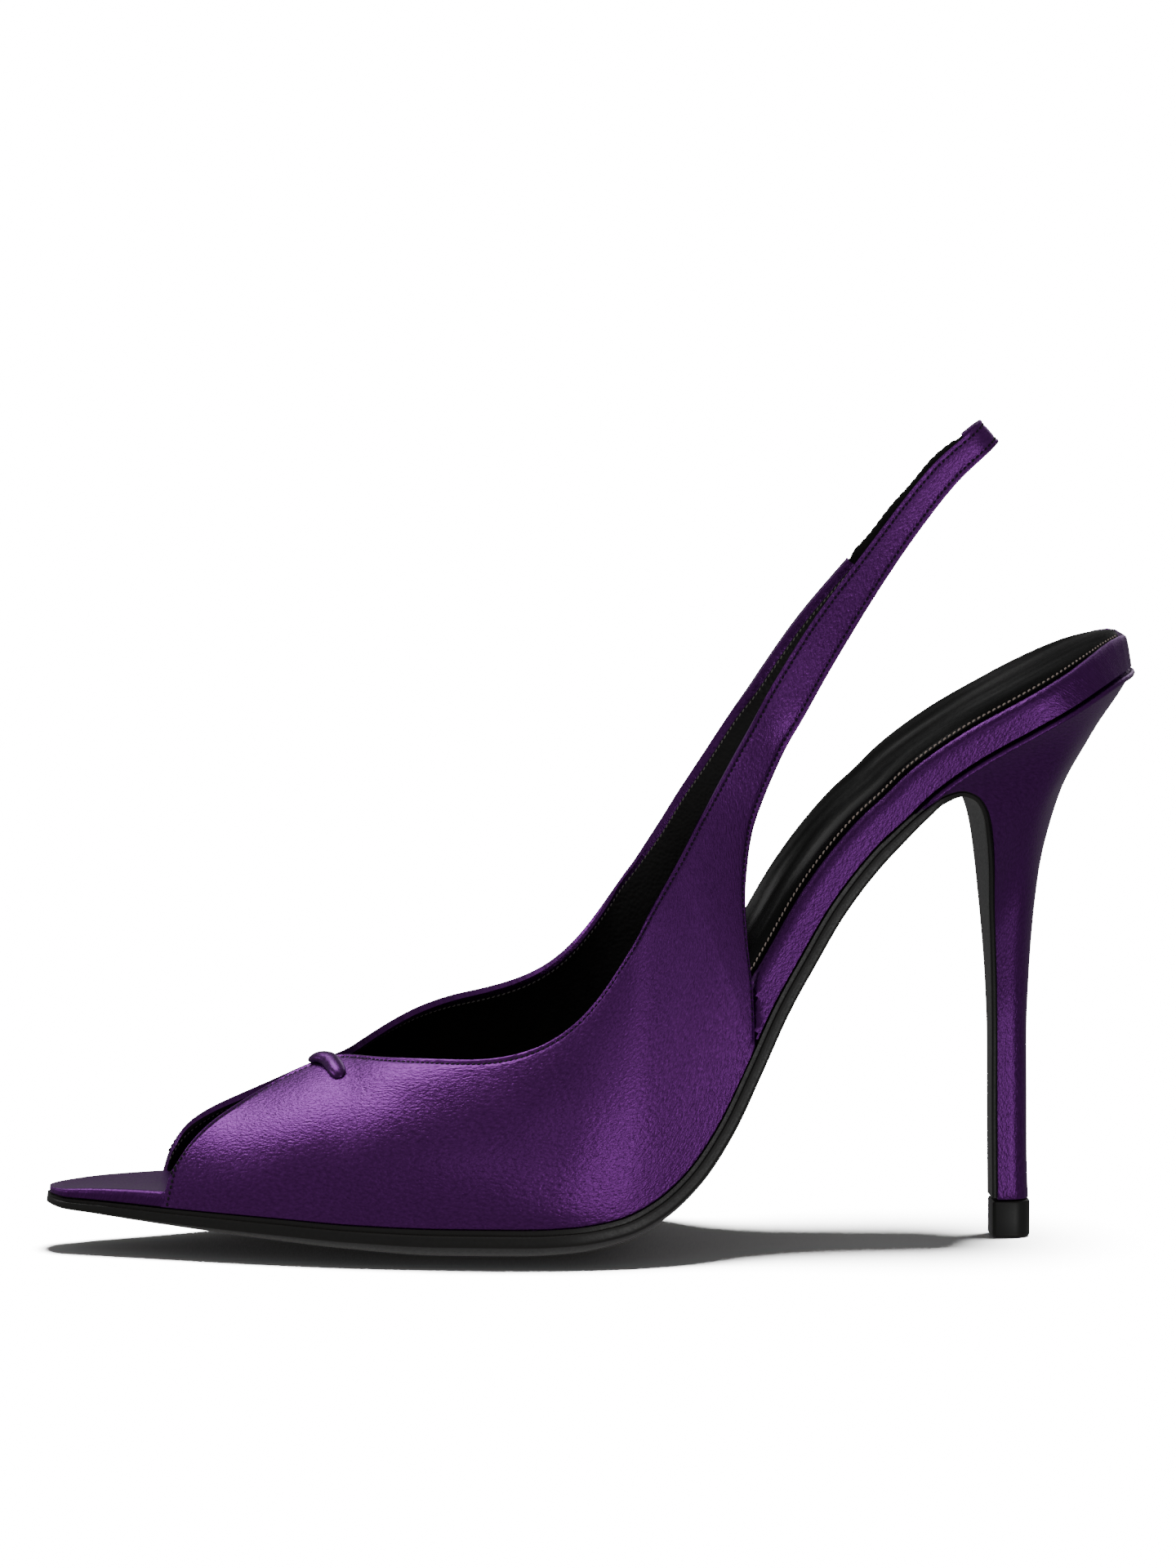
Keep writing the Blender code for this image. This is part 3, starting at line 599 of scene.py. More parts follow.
class Graph:
    """One material's node tree."""

    def __init__(self, name: str) -> None:
        """Starts a material with its shader."""
        self.material = bpy.data.materials.new(name)
        self.material.use_nodes = True
        self.tree = self.material.node_tree
        self.shader = self.tree.nodes["Principled BSDF"]

    def node(
        self, kind: str, settings: dict | None = None, values: dict | None = None
    ) -> bpy.types.Node:
        """Adds a node.

        Args:
            kind: Its type.
            settings: Its own settings, set first.
            values: Numbers, colours or links for its inputs, by name or place.

        Returns:
            The node.
        """
        node = self.tree.nodes.new(kind)
        for key, value in (settings or {}).items():
            setattr(node, key, value)
        for key, value in (values or {}).items():
            self.feed(node.inputs[key], value)
        return node

    def feed(self, socket: bpy.types.NodeSocket, value: object) -> None:
        """Links or sets one input."""
        if isinstance(value, Term):
            self.tree.links.new(value.socket, socket)
        elif value is not None:
            socket.default_value = value

    def set(self, **values: object) -> None:
        """Feeds the shader's inputs, whose names are written with underscores."""
        for key, value in values.items():
            self.feed(self.shader.inputs[key.replace("_", " ")], value)

    def place(self, scale: tuple, by_uv: bool, turn: float = 0.0) -> Term:
        """Coordinates in patterns per millimetre.

        Args:
            scale: Patterns per mm along each axis.
            by_uv: Follow the cut of the piece, whose UV map is in mm, or else the object's own axes.
            turn: Turn about the pattern's normal, in degrees.

        Returns:
            The vector.
        """
        if by_uv:
            source = self.node("ShaderNodeUVMap", {"uv_map": "cut"}).outputs[0]
            size = scale
        else:
            source = self.node("ShaderNodeTexCoord").outputs["Object"]
            size = tuple(v / MM for v in scale)
        angles = (0.0, 0.0, math.radians(turn))
        values = {"Vector": Term(self, source), "Scale": size, "Rotation": angles}
        return Term(self, self.node("ShaderNodeMapping", None, values).outputs[0])

    def noise(self, where: Term, detail: float, roughness: float, scale: float = 1.0) -> Term:
        """Soft noise between 0 and 1."""
        values = {"Vector": where, "Scale": scale, "Detail": detail, "Roughness": roughness}
        return Term(self, self.node("ShaderNodeTexNoise", None, values).outputs[0])

    def cells(self, where: Term, scale: float) -> Term:
        """Distance to the nearest grain."""
        node = self.node("ShaderNodeTexVoronoi", None, {"Vector": where, "Scale": scale})
        return Term(self, node.outputs["Distance"])

    def mix(self, factor: object, first: tuple, second: tuple) -> Term:
        """A colour between two."""
        node = self.node("ShaderNodeMix", {"data_type": "RGBA"})
        self.feed(node.inputs[0], factor)
        self.feed(node.inputs[6], (*first, 1.0))
        self.feed(node.inputs[7], (*second, 1.0))
        return Term(self, node.outputs[2])

    def bump(self, height: Term, depth: float) -> None:
        """Raises the surface by depth mm where height is 1."""
        values = {"Height": height, "Distance": depth * MM, "Strength": 1.0}
        node = self.node("ShaderNodeBump", None, values)
        self.feed(self.shader.inputs["Normal"], Term(self, node.outputs[0]))


def shades(colour: tuple, depth: tuple) -> list:
    """A colour times each of two numbers."""
    return [tuple(min(1.0, c * by) for c in colour) for by in depth]


@dataclass(frozen=True)
class Satin:
    """Heavy satin with a fine crepe grain that shines in its own colour. Pitches are patterns a mm."""

    name: str
    colour: tuple = (0.175, 0.034, 0.250)
    roughness: float = 0.33
    metallic: float = 0.88
    grain: float = 0.22
    crepe_pitch: tuple = (0.9, 1.7, 1.3)
    crepe_turn: float = 28.0
    cross_pitch: tuple = (1.5, 2.6, 2.0)
    cross_turn: float = -35.0
    broad_pitch: tuple = (0.05, 0.08, 0.08)
    weights: tuple = (1.6, 1.0, 0.4)
    depth: tuple = (0.72, 1.28)
    sheen: tuple = (0.62, 0.35, 0.75, 1.0)

    def material(self) -> bpy.types.Material:
        """Builds the satin's material."""
        g = Graph(self.name)
        crepe = g.noise(g.place(self.crepe_pitch, True, self.crepe_turn), 2.0, 0.6)
        cross = g.noise(g.place(self.cross_pitch, True, self.cross_turn), 2.0, 0.6)
        broad = g.noise(g.place(self.broad_pitch, True), 1.0, 0.5)
        fine, coarse, wide = self.weights
        shade = (crepe - 0.5) * fine + (cross - 0.5) * coarse + (broad - 0.5) * wide + 0.5
        g.set(
            Base_Color=g.mix(shade, *shades(self.colour, self.depth)),
            Metallic=self.metallic,
            Roughness=(crepe - 0.5) * 0.2 + (broad - 0.5) * 0.08 + self.roughness,
            Specular_IOR_Level=0.1,
            Sheen_Weight=0.08,
            Sheen_Roughness=0.45,
            Sheen_Tint=self.sheen,
        )
        g.bump(crepe * 0.6 + cross * 0.4, self.grain)
        return g.material


@dataclass(frozen=True)
class Leather:
    """Black leather: fine grain, soft gloss and, on the sock, long soft streaks."""

    name: str
    colour: tuple = (0.006, 0.0058, 0.0058)
    roughness: float = 0.42
    grain: float = 0.035
    pores: float = 2.2
    gloss: float = 0.3
    streak: float = 0.0
    streak_pitch: tuple = (0.02, 0.09, 0.04)
    weights: tuple = (0.12, 0.25)
    depth: tuple = (0.7, 1.5)

    def material(self) -> bpy.types.Material:
        """Builds the leather's material."""
        g = Graph(self.name)
        where = g.place((1.0, 1.0, 1.0), False)
        pebble = g.cells(where, self.pores)
        wrinkle = g.noise(where, 4.0, 0.6, self.pores * 0.35)
        long = g.noise(g.place(self.streak_pitch, False), 1.0, 0.5)
        matt, worn = self.weights
        uneven = pebble * matt + (wrinkle - 0.5) * worn + (long - 0.5) * self.streak
        g.set(
            Base_Color=g.mix(wrinkle, *shades(self.colour, self.depth)),
            Roughness=uneven + self.roughness,
            Specular_IOR_Level=self.gloss,
        )
        g.bump(pebble * 0.6 + wrinkle * 0.8 + long * (4.0 * self.streak), self.grain)
        return g.material


@dataclass(frozen=True)
class Plain:
    """Thread or moulded rubber: one colour with a fine unevenness."""

    name: str
    colour: tuple
    roughness: float = 0.5
    grain: float = 0.01
    pitch: float = 6.0
    depth: tuple = (0.75, 1.25)

    def material(self) -> bpy.types.Material:
        """Builds the material."""
        g = Graph(self.name)
        speck = g.noise(g.place((1.0, 1.0, 1.0), False), 3.0, 0.6, self.pitch)
        g.set(
            Base_Color=g.mix(speck, *shades(self.colour, self.depth)),
            Roughness=(speck - 0.5) * 0.2 + self.roughness,
        )
        g.bump(speck, self.grain)
        return g.material


@dataclass
class Wardrobe:
    """All finishes, each made once."""

    satin: Satin = Satin("violet_satin")
    # Darker copy of the upper's satin for the rand and heel: its lower colour is painted shade
    shaded_wrap_satin: Satin = Satin("violet_satin_painted_shade", colour=(0.130, 0.025, 0.188), grain=0.16)
    band_satin: Satin = Satin("violet_band_satin", colour=(0.130, 0.028, 0.185), grain=0.05)
    lining: Leather = Leather("black_lining_leather", (0.016, 0.015, 0.015), 0.45, 0.15, 1.2, 0.4)
    sock: Leather = Leather(
        "black_sock_leather", (0.0025, 0.0025, 0.0025), 0.36, 0.02, gloss=0.04, streak=1.5
    )
    sole: Leather = Leather("black_sole_leather", (0.016, 0.015, 0.014), 0.34, 0.02, 3.5, 0.6)
    elastic: Leather = Leather("black_elastic_leather", roughness=0.5, grain=0.08, pores=1.8)
    lift: Plain = Plain("black_lift_rubber", (0.012, 0.012, 0.011), 0.42)
    thread: Plain = Plain("violet_thread", (0.007, 0.0015, 0.010), 0.6)
    pale_thread: Plain = Plain("grey_thread", (0.30, 0.28, 0.26), 0.6)
    sock_thread: Plain = Plain("beige_thread", (0.60, 0.48, 0.42), 0.6)
    made: dict = field(default_factory=dict)

    def get(self, name: str) -> bpy.types.Material:
        """The material of a finish, by the finish's field."""
        if name not in self.made:
            self.made[name] = getattr(self, name).material()
        return self.made[name]


@dataclass
class Piece:
    """One finished object with what it stands for."""

    obj: bpy.types.Object
    finishes: tuple
    slot: str
    nodes: tuple = ()

    def settle(self, wardrobe: Wardrobe) -> None:
        """Dresses the object, ties it to the frame and reports it."""
        slots = self.obj.data.materials
        while len(slots) < len(self.finishes):
            slots.append(None)
        for place, name in enumerate(self.finishes):
            slots[place] = wardrobe.get(name)
        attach(self.obj, "root")
        if self.nodes:
            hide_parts(*self.nodes)
        LOG.info("%s: %d faces", self.obj.name, len(self.obj.data.polygons))


@dataclass
class Stitching:
    """Rows of short threads that lie on a surface."""

    pitch: float = 1.1
    length: float = 0.80
    radius: float = 0.24
    slant: float = 14.0
    sink: float = 0.10

    def stitch(self, name: str) -> tuple:
        """Models one stitch, one unit long and thick, and returns its object, points and faces."""
        bpy.ops.object.select_all(action="DESELECT")
        bpy.ops.mesh.primitive_uv_sphere_add(segments=6, ring_count=5, radius=0.5)
        obj = bpy.context.object
        obj.name = obj.data.name = name
        ball = np.array([v.co for v in obj.data.vertices])
        faces = [list(p.vertices) for p in obj.data.polygons]
        ball[:, 2] = np.sign(ball[:, 2]) * np.abs(2 * ball[:, 2]) ** 0.7 / 2
        return obj, ball, faces

    def frames(self, points: np.ndarray, normals: np.ndarray) -> zip:
        """Place, run, side and normal of each stitch along one line."""
        s = walk(points)
        count = max(2, int(round(s[-1] / self.pitch)))
        at = (np.arange(count) + 0.5) * s[-1] / count
        p, n = read_at(at, s, points), unit(read_at(at, s, normals))
        ahead = unit(read_at(at + 0.1, s, points) - p + 1e-9)
        side = unit(np.cross(n, ahead))
        slant = math.radians(self.slant)
        run = ahead * math.cos(slant) + side * math.sin(slant)
        return zip(p, run, np.cross(n, run), n)

    def sew(self, name: str, lines: list) -> bpy.types.Object:
        """Copies one stitch along lines.

        Args:
            name: Name of the object.
            lines: Pairs of arrays, the points of a line in mm and the surface's normals there.

        Returns:
            One object with every stitch.
        """
        obj, ball, faces = self.stitch(name)
        places, rims = [], []
        thick = 2 * self.radius
        for points, normals in lines:
            for p, run, beside, n in self.frames(points, normals):
                shape = np.outer(ball[:, 2] * self.length, run)
                shape += np.outer(ball[:, 0] * thick, beside) + np.outer(ball[:, 1] * thick, n)
                shape += np.outer(-self.sink * (2 * ball[:, 2]) ** 2, n)
                rims.extend([[v + len(places) * len(ball) for v in f] for f in faces])
                places.append(p + shape)
        old, obj.data = obj.data, bpy.data.meshes.new(name)
        obj.data.from_pydata([tuple(v) for v in np.concatenate(places) * MM], [], rims)
        bpy.data.meshes.remove(old)
        Bench.finish(obj, 80.0)
        return obj


@dataclass
class Crease:
    """A soft trough or ridge on a side of the upper, between two places in side view."""

    start: tuple
    stop: tuple
    wide: float
    deep: float

    def height(self, points: np.ndarray) -> np.ndarray:
        """How far each point moves out of the surface, in mm.

        Args:
            points: Array of points in mm.

        Returns:
            Heights, negative in a trough.
        """
        a, b = np.array(self.start, float), np.array(self.stop, float)
        flat = points[..., [0, 2]] - a
        run = b - a
        t = np.clip(flat @ run / (run @ run), 0.0, 1.0)
        away = np.linalg.norm(flat - t[..., None] * run, axis=-1)
        taper = np.sin(np.pi * np.clip(0.08 + 0.84 * t, 0, 1)) ** 0.6
        return self.deep * taper * np.exp(-((away / self.wide) ** 2))


@dataclass
class Upper:
    """Two satin side panels that meet at the knot, with lining, folded edges, stitches and strap."""

    line: FeatherLine
    per: int = 8
    front_rows: int = 5
    across: int = 36
    edge: float = 0.42
    thick: float = 1.3
    dent: float = 0.26
    puff: float = 0.12
    loop_long: float = 1.3
    loop_step: int = 6
    tip_back: float = 0.005
    tip_lean: float = 0.8
    waist_rise: tuple = (0.26, 0.56)
    swell_low: float = 1.6
    binding: int = 3
    corner_calm: float = 5.0
    passes: int = 10
    fine_columns: int = 61
    back_reach: float = 4.5
    front_reach: float = 2.5
    crease_fade: float = 3.0
    edge_wide: float = 0.32
    thread_lift: float = 0.05
    creases: tuple = (
        Crease((-128.0, 33.0), (-112.0, 31.0), 3.0, -0.25),
        Crease((-126.0, 29.0), (-104.0, 25.0), 4.0, -0.25),
        Crease((-122.0, 24.0), (-88.0, 8.0), 8.0, 0.8),
    )

    @property
    def standing(self) -> int:
        """Row of the surface at which the foot leaves the sole."""
        return self.front_rows + 17 * self.per

    def table(self, side: Side) -> tuple:
        """All rungs of one side in mm, and the walked distances of those that stand on the feather line.

        Args:
            side: Side of the shoe.

        Returns:
            Rows (foot x, z, y, head x, z, y, arch, lift, swell) and the distances.
        """
        sizes = self.line.sizes
        rows, walked = [], []
        narrow = self.line.at(sizes.quarter_back)
        ratio = float(self.line.half(narrow, Side.MEDIAL) / self.line.half(narrow, Side.LATERAL))
        for fx, fz, fy, hx, hz, hy, arch, lift, swell in RUNGS[1:]:
            if side is Side.MEDIAL and not rows:
                fx, hx = fx - self.tip_back, hx - self.tip_lean * self.tip_back
            if fz is None:
                walked.append(self.line.at(fx))
                foot = self.foot(walked[-1], side)
            else:
                medial = float(np.interp(fz, self.waist_rise, (ratio, 1.0)))
                waist = medial if side is Side.MEDIAL else 1.0
                foot = [-sizes.toe_reach * fx, sizes.instep_rise * fz, sizes.ball_width * fy * waist]
            head = [-sizes.toe_reach * hx, sizes.instep_rise * hz, sizes.ball_width * hy]
            rows.append([*foot, *head, arch, sizes.instep_rise * lift, sizes.ball_width * swell])
        scales = (("x", -sizes.toe_reach), ("z", sizes.instep_rise))
        middle = np.stack([scale * np.array(column(STRAP, c)) for c, scale in scales], axis=1)
        ahead = unit(np.gradient(middle, axis=0))
        for (x, h), (dx, dz), y, wide in zip(middle, ahead, column(STRAP, "y"), column(STRAP, "wide")):
            ox, oz, yy = -dz * wide / 2, dx * wide / 2, sizes.ball_width * y
            rows.append([x - ox, h - oz, yy, x + ox, h + oz, yy, 0.0, 0.0, 0.0])
        return np.array(rows), np.array(walked)

    def foot(self, s: float, side: Side) -> list:
        """Foot of a rung that stands on the sole at s: x, z, y."""
        x, _, h = self.line.place(s, self.line.sizes.gap, 0.0)
        return [float(x), float(h), float(self.line.half(s, side))]

    def rungs(self, side: Side, keys: np.ndarray, shares: np.ndarray) -> np.ndarray:
        """Points of the outer surface.

        Args:
            side: Side of the shoe.
            keys: Rows of the table, whole or between.
            shares: Places from foot to head, 0 to 1.

        Returns:
            Array keys x shares x 3, in mm.
        """
        table, walked = self.table(side)
        rows = np.arange(len(table))
        fx, fz, fy, hx, hz, hy, arch, lift, swell = (smooth(keys, rows, table[:, c]) for c in range(9))
        low = keys <= len(walked) - 1
        for i in np.nonzero(low)[0]:
            s = float(smooth(keys[i], rows[: len(walked)], walked))
            fx[i], fz[i], fy[i] = self.foot(s, side)
        if side is Side.MEDIAL:
            hz = hz + lift
        t = shares[None, :]
        turn = 0.5 * np.pi * t
        arch = arch[:, None]
        over = (1 - arch) * t + arch * (1 - np.cos(turn))
        up = (1 - arch) * t + arch * np.sin(turn)
        belly = swell[:, None] * self.swell_low * np.sin(np.pi * t) * (1 - t)
        y = fy[:, None] + (hy - fy)[:, None] * over + belly
        x = fx[:, None] + (hx - fx)[:, None] * t
        h = fz[:, None] + (hz - fz)[:, None] * up
        return np.stack([x, side.value * y, h], axis=-1)

    def surface(self, side: Side) -> np.ndarray:
        """Outer surface of one panel with its strap, evenly spaced along each rung.

        Args:
            side: Side of the shoe.

        Returns:
            Array rows x columns x 3, in mm.
        """
        count = len(RUNGS) + len(STRAP) - 2
        front = np.linspace(0, 1, self.front_rows + 1)[:-1]
        keys = np.concatenate([front, np.linspace(1, count - 1, (count - 2) * self.per + 1)])
        fine = self.rungs(side, keys, np.linspace(0, 1, self.fine_columns))
        if side is Side.LATERAL:
            fine = np.concatenate([fine, self.loop(fine[-1])])
        else:
            middle = 0.5 * (fine[:, 0, 0] + fine[:, -1, 0]) / -self.line.sizes.toe_reach
            fine = fine[middle >= self.line.sizes.strap_split]
        spaced = np.array([spread(rung, self.across) for rung in self.eased(fine)])
        return self.embossed(spaced, side)

    def eased(self, fine: np.ndarray) -> np.ndarray:
        """The surface without its kinks. The quarter's lower back corner stays where it is."""
        soft = relax(fine, self.passes)
        row = np.arange(len(fine))
        near = np.exp(-(((row - self.standing) / self.per) ** 2))
        corner = near[:, None] * np.linspace(1, 0, self.fine_columns) ** 2
        out = soft + corner[..., None] * (fine - soft)
        start, stop, lead = self.standing - 4 * self.per, self.standing + 6 * self.per, 3 * self.per
        back = np.minimum(row - start, stop - row) / (2.0 * self.per)
        front = (lead - row) / self.per
        spans = ((slice(start, stop), back, self.back_reach), (slice(0, lead), front, self.front_reach))
        for rows, share, reach in spans:
            share = np.clip(share[rows], 0.0, 1.0)[:, None]
            out[rows, :, 1] += share * (fair(out[rows], reach) - out[rows, :, 1])
        return out

    def embossed(self, out: np.ndarray, side: Side) -> np.ndarray:
        """The surface with its creases, its puffed edges and the groove under the stitches."""
        normal = self.normals(out, side)
        for crease in self.creases:
            fade = np.minimum(walk_in(out), walk_out(out)) / self.crease_fade
            rise = crease.height(out) * np.minimum(1.0, fade)
            out = out + normal * rise[..., None]
        groove = self.edge_share(out, side, EDGE_STEPS[STITCH_STEP])
        crest = self.edge_share(out, side, EDGE_STEPS[CREST_STEP])
        corner = np.linalg.norm(out - out[0, -1], axis=-1)
        calm = np.clip(corner / self.corner_calm - 0.5, 0.0, 1.0)
        return out + normal * (calm * (self.puff * crest - self.dent * groove))[..., None]

    def edge_share(self, points: np.ndarray, side: Side, seam: float) -> np.ndarray:
        """How near each point is to a line that runs beside the folded edges, 1 on it.

        Args:
            points: Points of the panel.
            side: Side of the shoe.
            seam: Distance of the line from the edge, in mm.

        Returns:
            Array rows x columns.
        """
        free = np.arange(len(points))[:, None] >= self.standing
        ahead = np.array([walk(points[:, c]) for c in range(points.shape[1])]).T
        away = [walk_out(points), np.where(free, walk_in(points), np.inf), ahead]
        if side is Side.MEDIAL:
            away.append(ahead[-1] - ahead)
        return np.max([np.exp(-(((a - seam) / self.edge_wide) ** 2)) for a in away], axis=0)

    def loop(self, start: np.ndarray) -> np.ndarray:
        """Strap round the back of the loop, from the lateral to the medial side."""
        foot, head = start[0], start[-1]
        edge = head - foot
        run = unit(np.array([edge[2], 0.0, -edge[0]]))
        radius = -0.5 * (foot[1] + head[1])
        rows = []
        for turn in np.radians(np.arange(self.loop_step, 181, self.loop_step)):
            row = start + run * self.loop_long * radius * math.sin(turn)
            row[:, 1] = -radius * math.cos(turn)
            rows.append(row)
        return np.array(rows)

    @staticmethod
    def normals(points: np.ndarray, side: Side) -> np.ndarray:
        """Outward normals of a panel's points. The crowded front rows take that of the row behind."""
        n = unit(np.cross(np.gradient(points, axis=0), np.gradient(points, axis=1)))
        n[:3] = n[3]
        middle = n[len(n) // 3, n.shape[1] // 3]
        return n * np.sign(middle[1]) * side.value

    def panel(self, side: Side) -> bpy.types.Object:
        """One closed panel: satin outside, lining inside, rounded folded edges."""
        name = f"upper_{side.name.lower()}_panel"
        points = self.surface(side)
        obj = Bench.sheet(name, points)
        want = self.normals(points, side)[len(points) // 3, self.across // 3]
        place = Vector(points[len(points) // 3, self.across // 3] * MM)
        near = min(obj.data.polygons, key=lambda p: (p.center - place).length)
        if near.normal.dot(Vector(want)) < 0:
            Bench.turn_out(obj)
        for _ in range(2):
            obj.data.materials.append(None)
        Bench.apply(obj, "SOLIDIFY", thickness=self.thick * MM, offset=-1.0, material_offset=1)
        wide = self.across - 1
        faces = (len(points) - 1) * wide
        for i in range(faces):
            row, place = divmod(i, wide)
            bound = self.binding if row > 6 * self.per else 1
            if place >= wide - bound or (place < self.binding and row >= self.standing):
                obj.data.polygons[faces + i].material_index = 0
        Bench.bevel(obj, self.edge, 3)
        Bench.finish(obj, 60.0)
        return obj

    def seams(self, side: Side, inside: bool) -> list:
        """Lines of stitches just inside a panel's edges.

        Args:
            side: Side of the shoe.
            inside: On the lining, or else on the satin.

        Returns:
            Pairs of points and normals.
        """
        points = self.surface(side)
        normal = self.normals(points, side)
        lift = -(self.thick + self.thread_lift + 0.01) if inside else self.thread_lift
        face = -1.0 if inside else 1.0
        foot = self.binding + 1 if inside else STITCH_STEP
        head = foot + 1
        places = [(slice(None), -head), (slice(self.standing + 3, None), foot)]
        if not inside:
            ahead = walk(points[:, self.across // 2])
            front = int(np.searchsorted(ahead, EDGE_STEPS[foot]))
            places.append((front, slice(0, -head)))
            if side is Side.MEDIAL:
                back = int(np.searchsorted(ahead, ahead[-1] - EDGE_STEPS[foot]))
                places.append((back, slice(foot, -head)))
        return [(points[p] + lift * normal[p], face * normal[p]) for p in places]

    def build(self) -> list:
        """Builds both panels and their stitches."""
        pieces = []
        for side in Side:
            pieces.append(Piece(self.panel(side), ("satin", "lining"), "upper_satin", ("upper",)))
        outer = [seam for side in Side for seam in self.seams(side, False)]
        inner = [seam for side in Side for seam in self.seams(side, True)]
        threads = Stitching().sew("upper_stitches", outer)
        pale = Stitching(radius=0.15).sew("lining_stitches", inner)
        pieces.append(Piece(threads, ("thread",), "upper_satin"))
        pieces.append(Piece(pale, ("pale_thread",), "upper_satin"))
        return pieces


@dataclass
class Elastic:
    """Leather covered elastic, gathered a little, between the medial strap and the loop.

    held holds its half width and half height where it is tucked in, freed what they gain outside.
    """

    upper: Upper
    gathers: float = 1.7
    gather_deep: float = 0.5
    sway: float = 13.0
    sway_deep: float = 0.9
    tuck: float = 1.6
    taper: float = 1.5
    held: tuple = (0.44, 0.34)
    freed: tuple = (0.06, 0.26)
    first_rung: int = 24
    steps: int = 130

    def rails(self) -> np.ndarray:
        """Lower and upper edge of the strap over the elastic's length, tucked in at both ends."""
        sizes = self.upper.line.sizes
        keys = np.linspace(self.first_rung, len(RUNGS) + len(STRAP) - 3, 400)
        rungs = self.upper.rungs(Side.MEDIAL, keys, np.array([0.0, 1.0]))
        middle = 0.5 * (rungs[:, 0, 0] + rungs[:, 1, 0]) / -sizes.toe_reach
        rungs = rungs[middle <= sizes.strap_split + self.tuck / sizes.toe_reach]
        ahead = unit(rungs[-1:] - rungs[-12:-11]).mean(axis=1, keepdims=True)
        return np.concatenate([rungs, rungs[-1:] + ahead * 0.5 * self.tuck])

    def build(self) -> list:
        """Builds the elastic."""
        rails, wall = self.rails(), self.upper.thick
        path = even(0.5 * (rails[:, 0] + rails[:, 1]), self.steps)
        across = np.linalg.norm(rails[:, 1] - rails[:, 0], axis=1)
        wide = np.interp(np.linspace(0, 1, self.steps), np.linspace(0, 1, len(rails)), across)
        s = walk(path)
        free = np.minimum(s - self.tuck, s[-1] - self.tuck - s) / self.taper
        free = np.clip(free, 0.0, 1.0)
        turn = s * 2 * np.pi
        gather = self.gather_deep * np.sin(turn / self.gathers)
        wave = free * (gather + self.sway_deep * np.sin(turn / self.sway + 1.0))
        path = path + np.stack([0 * s, -0.5 * wall + 0.06 * wave, 0.07 * wave], axis=1)
        out = np.tile([0.0, 1.0, 0.0], (self.steps, 1))
        half_wide = (self.held[0] + self.freed[0] * free) * wide + 0.07 * wave
        half_high = (self.held[1] + self.freed[1] * free) * wall
        points = Bench.tube(path, out, half_wide, half_high, 16)
        obj = Bench.solid("sling_elastic", points, 50.0)
        return [Piece(obj, ("elastic",), "elastic_leather", ("elastic",))]


@dataclass
class KnotBand:
    """Small rolled satin band that ties the two panels at the throat."""

    upper: Upper
    wide: float = 1.75
    high: float = 1.0
    steps: int = 60
    passes: int = 40
    places: tuple = (
        (Side.MEDIAL, 5.34, 0.96, 0.55),
        (Side.LATERAL, 5.52, 0.99, 0.85),
        (Side.LATERAL, 5.80, 0.93, 0.80),
        (Side.LATERAL, 6.02, 0.84, 0.60),
        (Side.LATERAL, 6.20, 0.76, 0.25),
    )

    def build(self) -> list:
        """Builds the band over places given as side, rung, share of the rung and height above it."""
        line, up = [], []
        for side, rung, share, height in self.places:
            keys, shares = np.array([rung - 0.1, rung + 0.1]), np.array([share - 0.02, share])
            near = self.upper.rungs(side, keys, shares)
            out = unit(np.cross(near[1, 1] - near[0, 1], near[1, 1] - near[1, 0]))
            out = out * np.sign(out[2])
            line.append(near[:, 1].mean(axis=0) + height * out)
            up.append(out)
        path = relax(even(np.array(line), self.steps), self.passes)
        up = relax(even(np.array(up), self.steps), self.passes)
        t = np.linspace(-1, 1, self.steps)
        end = np.sqrt(np.clip(1 - np.abs(t) ** 5, 0.01, 1))
        points = Bench.tube(path, up, self.wide * end, self.high * end, 20)
        obj = Bench.solid("throat_knot_band", points, 70.0)
        return [Piece(obj, ("band_satin",), "band_satin", ("knot_band",))]


